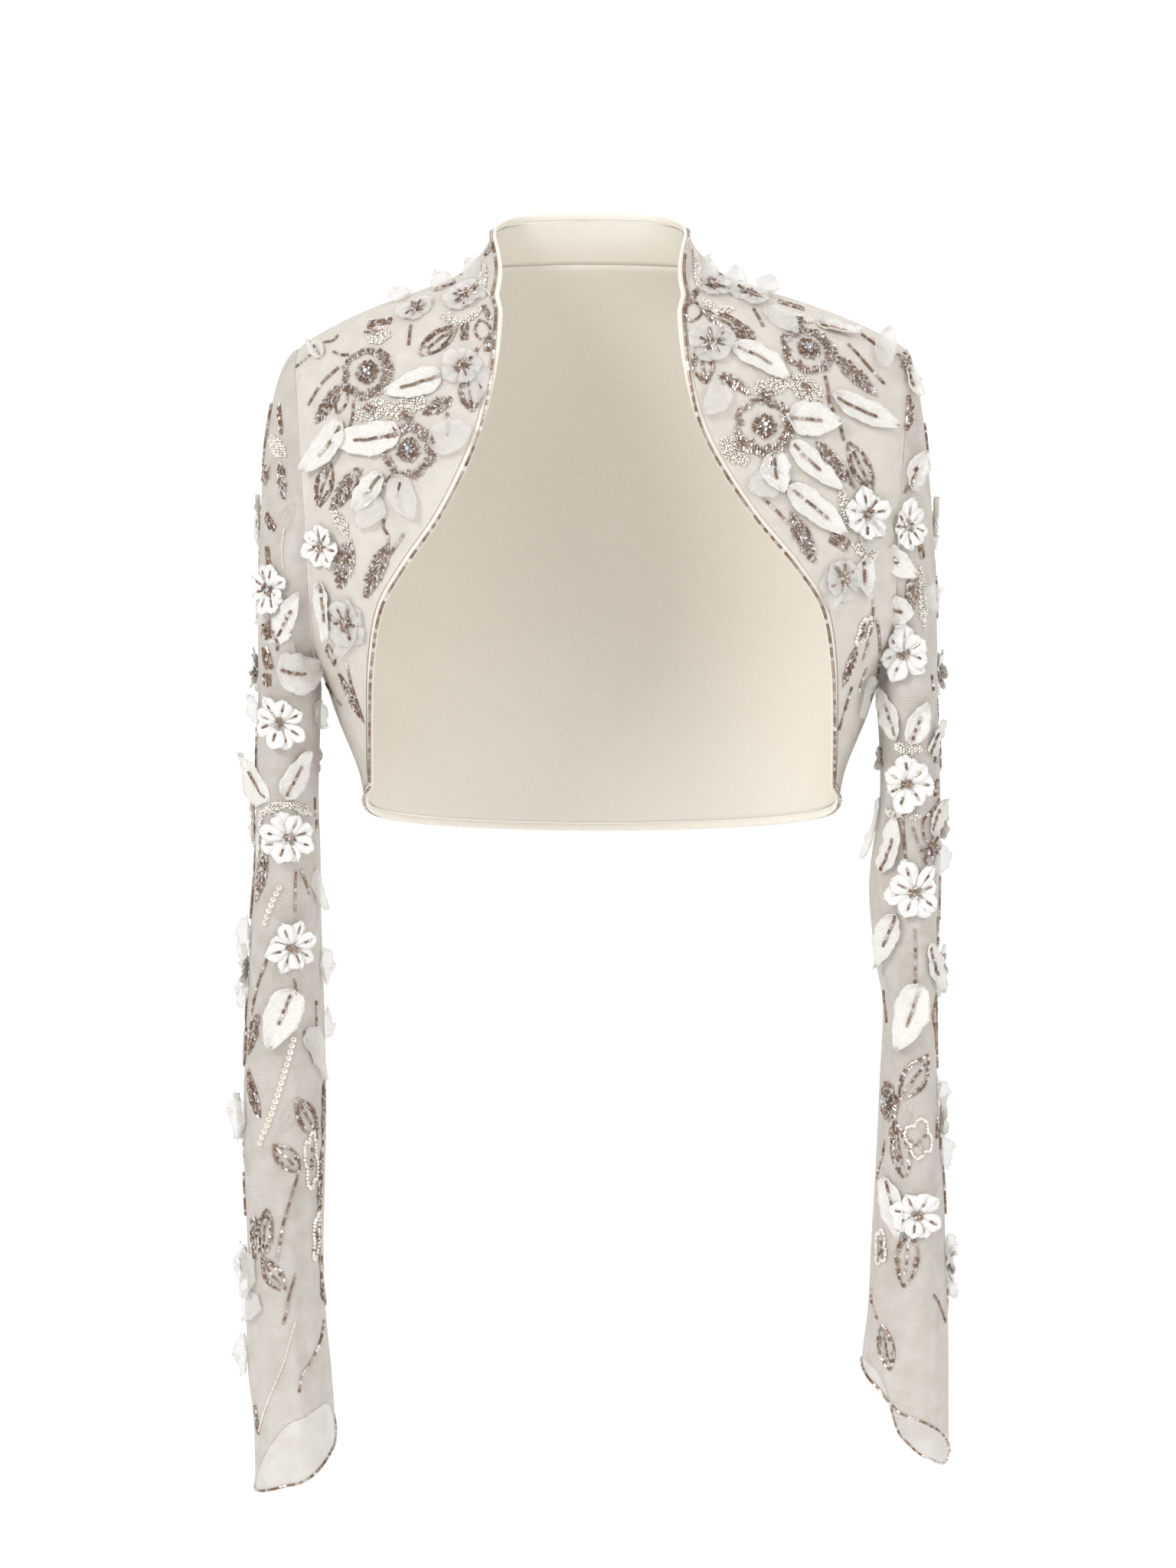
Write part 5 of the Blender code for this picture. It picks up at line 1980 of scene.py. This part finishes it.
@dataclass(frozen=True)
class HiddenSide:
    """The trimmings of the back and of the sleeves' hidden sides, in rows like the front's."""

    back_marks: tuple[tuple[Sewn, tuple[tuple[float, ...], ...]], ...] = (
        (Sewn.ROSETTE, ((38, -44, 15, 0, 0), (112, -58, 15, 0, 15))),
        (Sewn.CLOTH_LEAF, ((146, -70, 30, 15, -25), (66, -84, 32, 15, -50), (124, -108, 34, 16, 60))),
        (Sewn.SATIN_FLOWER, ((34, -132, 14, 0, 10), (92, -146, 14, 0, 0))),
        (Sewn.CLOTH_LEAF, ((146, -142, 32, 15, 15), (62, -190, 32, 15, -20), (124, -194, 32, 15, 35))),
        (Sewn.ROSETTE, ((92, -240, 14, 0, 20),)),
        (Sewn.FILLED_LEAF, ((76, -50, 28, 10, 40),)),
        (Sewn.OPEN_LEAF, ((86, -112, 26, 11, -30),)),
        (Sewn.FILLED_LEAF, ((56, -158, 28, 10, 24),)),
        (Sewn.OPEN_LEAF, ((118, -166, 24, 10, 50),)),
        (Sewn.FILLED_LEAF, ((26, -206, 30, 10, -14), (126, -244, 28, 9, 20))),
        (Sewn.OPEN_LEAF, ((46, -250, 26, 11, 34),)),
        (Sewn.FILLED_LEAF, ((20, -290, 28, 10, 60),)),
        (Sewn.OPEN_LEAF, ((100, -284, 24, 10, -40),)),
        (Sewn.PEARLS, ((78, -72, 10, 22, 20), (64, -132, 20, 10, 0), (92, -206, 22, 9, 10))),
        (Sewn.ORGANZA_FLOWER, ((150, -104, 12, 0, 0), (16, -88, 12, 0, 0),
                               (62, -280, 12, 0, 0), (130, -276, 11, 0, 0))),
        (Sewn.ORGANZA_LEAF, ((56, -62, 30, 16, 40), (104, -84, 32, 17, -20), (112, -132, 30, 16, 70))),
        (Sewn.CLOTH_LEAF, ((42, -108, 30, 15, 80), (150, -226, 28, 13, 10), (74, -222, 32, 15, -60))),
        (Sewn.BAR, ((20, -60, 12, 4, 60),)),
        (Sewn.LOOP, ((150, -180, 22, 8, 10),)),
        (Sewn.PEARLS, ((124, -82, 20, 8, -40),)),
        (Sewn.FILLED_LEAF, ((154, -204, 26, 9, -15), (18, -168, 26, 9, 18))),
        (Sewn.OPEN_LEAF, ((88, -178, 26, 11, -12),)),
        (Sewn.PEARL_LOOP, ((24, -240, 18, 12, 0),)),
    )
    mirror_drop: float = 6.0
    sleeve_first: float = -112.0
    sleeve_step: float = 92.0
    sleeve_count: int = 6
    sleeve_places: tuple[float, ...] = (5.0, -1.0, -7.0)
    sleeve_leans: tuple[float, ...] = (25.0, -25.0, 25.0, 25.0)

    def marks(self, cuts: dict[str, SleeveCut]) -> list[HiddenMark]:
        """Every hidden trimming.

        Args:
            cuts: the sleeves by name.

        Returns:
            The trimmings.
        """
        made = []
        for kind, places in self.back_marks:
            for place, z, length, width, turn in places:
                made.append(HiddenMark(kind, "back", Seen.BACK, place, z, length, width, -turn))
                drop = z - self.mirror_drop
                made.append(HiddenMark(kind, "back", Seen.BACK, -place, drop, length, width, turn))
        for name, cut in cuts.items():
            made += self.sleeve_marks(name, cut)
        return made

    def sleeve_marks(self, name: str, cut: SleeveCut) -> list[HiddenMark]:
        """The trimmings down the back and the outer side of one sleeve.

        Args:
            name: the sleeve's name.
            cut: its measures.

        Returns:
            The trimmings.
        """
        made = []
        for number in range(self.sleeve_count):
            z = self.sleeve_first - self.sleeve_step * number
            middle = float(Profile(cut.levels, cut.out).at(z)) + self.sleeve_places[number % 3]
            middle *= cut.side.value
            lean = self.sleeve_leans[number % 4]
            leafy = number % 2 == 1
            beaded = Sewn.FILLED_LEAF if leafy else Sewn.OPEN_LEAF
            behind = (Sewn.CLOTH_LEAF, 30, 15) if leafy else (Sewn.SATIN_FLOWER, 13, 0)
            beside = (Sewn.SATIN_FLOWER, 12, 0) if leafy else (Sewn.CLOTH_LEAF, 28, 14)
            marks = (
                (Seen.BACK, middle, z, *behind, lean),
                (Seen.BACK, middle, z - 40, beaded, 26, 10, -lean),
                (Seen.SIDE, 24, z - 16, Sewn.PEARLS, 14, 8, lean),
                (Seen.SIDE, 16, z - 60, beaded, 24, 9, lean),
                (Seen.SIDE, -2, z - 30, *beside, -lean),
                (Seen.SIDE, -6, z + 14, Sewn.OPEN_LEAF, 26, 11, lean / 2),
                (Seen.SIDE, 28, z - 42, Sewn.ORGANZA_LEAF, 26, 15, 60 - lean),
            )
            for seen, place, level, kind, length, width, turn in marks:
                made.append(HiddenMark(kind, name, seen, place, level, length, width, turn))
        return made


class Jacket:
    """The whole jacket: its cloths, its binding and what is sewn to it."""

    lining_inset: float = 0.9
    lining_thickness: float = 0.4
    binding_width: float = 4.6
    binding_thickness: float = 2.2
    binding_gap: float = 0.45
    binding_sink: float = 0.75
    binding_wrap: float = 0.95
    edge_points: int = 120
    end_points: int = 9
    edge_inset: float = 0.02
    least_step: float = 0.05
    soft_rounds: int = 5
    edge_bead_length: float = 2.9
    edge_bead_width: float = 1.9
    bead_inner: float = 1.3
    bead_rim: float = 4.1
    bead_rim_top: float = -20.0
    bead_rim_blend: float = 60.0
    bead_height: float = 1.0
    cuff_points: int = 160
    cuff_share: float = 0.9985
    cuff_bead_height: float = 0.5

    def __init__(self, view: PhotoView) -> None:
        """Takes up the measures.

        Args:
            view: what the trimmings are placed through.
        """
        self.tailor = Tailor()
        self.body = BodyCut()
        self.sleeves = {"sleeve_left": LEFT_SLEEVE, "sleeve_right": RIGHT_SLEEVE}
        self.view = view
        self.nets: dict[str, Cloth] = {}
        self.linings: dict[str, Cloth] = {}
        self.sheets: list[tuple[bpy.types.Object, Cloth, list[str], str]] = []

    def surfaces(self) -> dict[str, tuple[Weave, Callable[[Array, Array], Array]]]:
        """The body's surfaces by the node that each stands for."""
        body = self.body
        return {
            "front_left": (Weave(40, 90), lambda u, v: body.front(Side.LEFT, u, v)),
            "front_right": (Weave(40, 90), lambda u, v: body.front(Side.RIGHT, u, v)),
            "back": (Weave(90, 90), body.back),
            "collar": (Weave(110, 10), body.collar),
        }

    def lay_cloths(self) -> None:
        """Lays the net and the lining."""
        for node, (weave, place) in self.surfaces().items():
            creases = BODY_CREASES.get(node, ())
            self.nets[node] = Cloth(node, weave, place, creases)
            self.linings[node] = Cloth(f"lining_{node}", weave, place, creases, self.lining_inset)
            lining = self.tailor.piece(
                f"lining_{node}", self.linings[node].mesh, LINING, "lined_net", self.lining_thickness
            )
            net = self.tailor.piece(f"net_{node}", self.nets[node].mesh, BODY_NET, "lined_net")
            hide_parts(node)
            self.sheets.append((net, self.nets[node], [lining.name], "hung"))
            self.sheets.append((lining, self.linings[node], [net.name], "hung"))
        for node, cut in self.sleeves.items():
            weave = Weave(84, 170, tube=True)
            self.nets[node] = Cloth(node, weave, lambda u, v, cut=cut: cut.place(self.body, u, v))
            # The sleeves' tulle carries painted shade in its colour, greyer than the body's tulle.
            net = self.tailor.piece(f"net_{node}", self.nets[node].mesh, SLEEVE_NET_PAINTED_SHADE, "sheer_net")
            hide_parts(node)
            self.sheets.append((net, self.nets[node], ["net_back"], "hung"))

    def half_edge(self, side: Side, inset: float) -> Array:
        """Half of the opening's edge, from the middle of the hem behind to the collar's middle.

        Args:
            side: which half.
            inset: how far inside the edge it runs, as a share of the cloth.

        Returns:
            Its points.
        """
        body, n, few = self.body, self.edge_points, self.end_points
        foot = (body.front_top - body.collar_foot) / (body.front_top - body.hem_level)
        run, full = np.linspace(0, 1, n), np.ones(n - 1)
        behind, top = np.linspace(0.5, 1, n)[:-1], np.linspace(1, 0.5, n)[1:]
        corner = np.ones(few) - inset
        if side is Side.RIGHT:
            behind, corner, top = 1 - behind, 1 - corner, 1 - top
        parts = [
            body.back(behind, full - inset),
            body.front(side, 1 - run[1:], full - inset)[:-1],
            body.front(side, np.full(n - 3, inset), 1 - (1 - foot) * run[:-3]),
            body.collar(corner, np.linspace(1, 0, few)),
            body.collar(top, np.full(n - 1, 10 * inset)),
        ]
        return np.concatenate(parts)

    def edge(self) -> tuple[Array, Array, Array]:
        """The opening's edge, once round.

        Returns:
            Its points, the way off the cloth's edge and the way out of the cloth.
        """
        line, inside = (
            np.concatenate(
                [self.half_edge(Side.LEFT, inset), self.half_edge(Side.RIGHT, inset)[::-1][1:-1]]
            )
            for inset in (0.0, self.edge_inset)
        )
        tangent = unit_rows(np.roll(line, -1, axis=0) - np.roll(line, 1, axis=0))
        off = line - inside
        off = unit_rows(off - tangent * (off * tangent).sum(axis=1)[:, None])
        outward = np.cross(tangent, off)
        flip = np.sign((outward * (line * np.array([1.0, 1.0, 0.0]))).sum(axis=1))
        return line, off, outward * flip[:, None]

    def bind(self, embroiderer: Embroiderer) -> None:
        """Rolls a satin binding round the opening's edge, with a line of beads on it.

        Args:
            embroiderer: who sews the beads.
        """
        line, off, outward = self.edge()
        steps = np.linalg.norm(np.diff(line, axis=0), axis=1)
        keep = np.concatenate([[True], steps > self.least_step])
        line, off, outward = line[keep], off[keep], outward[keep]
        for _ in range(self.soft_rounds):
            off, outward = (
                unit_rows(rows + np.roll(rows, 1, axis=0) + np.roll(rows, -1, axis=0))
                for rows in (off, outward)
            )
        closed = [np.vstack([rows, rows[:1]]) for rows in (line, off, outward)]
        along = run_along(closed[0])

        def at(share: Array) -> list[Array]:
            """The edge's point and directions at shares of its length."""
            place = share * along[-1]
            return [
                np.stack([np.interp(place, along, rows[:, k]) for k in range(3)], axis=-1)
                for rows in closed
            ]

        half, thick = self.binding_width / 2, self.binding_thickness / 2

        def rolled(u: Array, v: Array) -> Array:
            """The strip: u goes round the cloth's edge from its inside, and v along it."""
            point, beyond, out = at(v)
            middle = point + beyond * (half + self.binding_gap) - out * self.binding_sink
            turn = math.pi * self.binding_wrap * (2 * u - 1)
            middle += beyond * (half * np.cos(turn))[:, None]
            return middle + out * (thick * np.sin(turn))[:, None]

        roll = Cloth("edge_binding", Weave(12, 640, loop=True), rolled)
        piece = self.tailor.piece("binding_roll", roll.mesh, ROLLED_SATIN, "binding_satin")
        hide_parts("edge_binding")
        self.sheets.append((piece, roll, ["net_back", "net_collar"], "folded"))
        step = self.edge_bead_length + embroiderer.bead_gap
        count = int(along[-1] / step)
        point, beyond, out = at((np.arange(count) + 0.5) / count)
        ahead = at((np.arange(count) + 0.7) / count)[0] - point
        size = tube_size(self.edge_bead_length, self.edge_bead_width)
        low = smooth_step((self.bead_rim_top - point[:, 2]) / self.bead_rim_blend)[:, None]
        inner, rim = self.bead_inner, self.bead_rim
        place = point + beyond * (inner + (rim - inner) * low) + out * self.bead_height
        for k in range(count):
            tone = draw_tone(2.0, 2.4)
            embroiderer.sprinkle("beads", self.nets["back"]).put(
                Vector(place[k]), Vector(ahead[k]), Vector(out[k]), size, tone
            )

    def bead_cuffs(self, embroiderer: Embroiderer) -> None:
        """Sews a line of beads round each cuff's edge.

        Args:
            embroiderer: who sews them.
        """
        for node, cut in self.sleeves.items():
            share = np.linspace(0, 1, self.cuff_points)
            route = cut.place(self.body, share, np.full(self.cuff_points, self.cuff_share))
            embroiderer.thread(self.nets[node], route, Line.STEM, self.cuff_bead_height)

    def trim(self) -> None:
        """Binds the edges and sews on every trimming."""
        embroiderer = Embroiderer(self.view, self.nets)
        self.bind(embroiderer)
        self.bead_cuffs(embroiderer)
        for kind, places in ROUND_THINGS.items():
            for at, reach in places:
                embroiderer.mark(embroiderer.photo_patch(at, reach), kind)
        for kind, spans in LONG_THINGS.items():
            for root, tip, width in spans:
                embroiderer.mark(embroiderer.photo_span(kind, root, tip, width), kind)
        for line, routes in PHOTO_LINES.items():
            for pixels in routes:
                embroiderer.sew_line(line, pixels)
        for hidden in HiddenSide().marks(self.sleeves):
            embroiderer.mark(embroiderer.hidden_patch(hidden), hidden.kind)
        embroiderer.pieces(self.tailor)


@dataclass(frozen=True)
class Studio:
    """A plain pale floor and plain soft light."""

    floor_level: float = -1.42
    floor_reach: float = 60.0
    sky: float = 0.6

    def set_up(self) -> None:
        """Lays the floor and hangs the lights."""
        shape = bmesh.new()
        bmesh.ops.create_grid(shape, x_segments=4, y_segments=4, size=self.floor_reach)
        mesh = bpy.data.meshes.new("floor")
        shape.to_mesh(mesh)
        shape.free()
        mesh.transform(Matrix.Translation((0, 0, self.floor_level)))
        mesh.materials.append(FLOOR_PAINT.material())
        floor = add_object("floor", mesh)
        world = bpy.data.worlds.new("soft_sky")
        world.use_nodes = True
        world.node_tree.nodes["Background"].inputs["Color"].default_value = (1, 1, 1, 1)
        world.node_tree.nodes["Background"].inputs["Strength"].default_value = self.sky
        bpy.context.scene.world = world
        self.sun("key_light", energy=1.2, spread=22, tilt=56, turn=-42)
        self.sun("fill_light", energy=0.6, spread=40, tilt=60, turn=44)
        self.sun("top_light", energy=0.25, spread=40, tilt=12, turn=180)
        self.sun("back_light", energy=0.65, spread=50, tilt=55, turn=160)
        bpy.context.scene.view_settings.view_transform = "Standard"

    def sun(self, name: str, energy: float, spread: float, tilt: float, turn: float) -> None:
        """Hangs one broad light.

        Args:
            name: of the light.
            energy: its strength.
            spread: how broad it is, in degrees.
            tilt: from straight down.
            turn: round the jacket from the front, towards +X.
        """
        data = bpy.data.lights.new(name, "SUN")
        data.energy = energy
        data.angle = math.radians(spread)
        made = add_object(name, data)
        made.rotation_euler = (math.radians(tilt), 0.0, math.radians(turn))


def main() -> None:
    """Builds the studio and the jacket in order."""
    logging.basicConfig(level=logging.INFO, format="%(message)s")
    view = PhotoView()
    view.camera()
    Studio().set_up()
    jacket = Jacket(view)
    jacket.lay_cloths()
    jacket.trim()


if __name__ == "__main__":
    main()
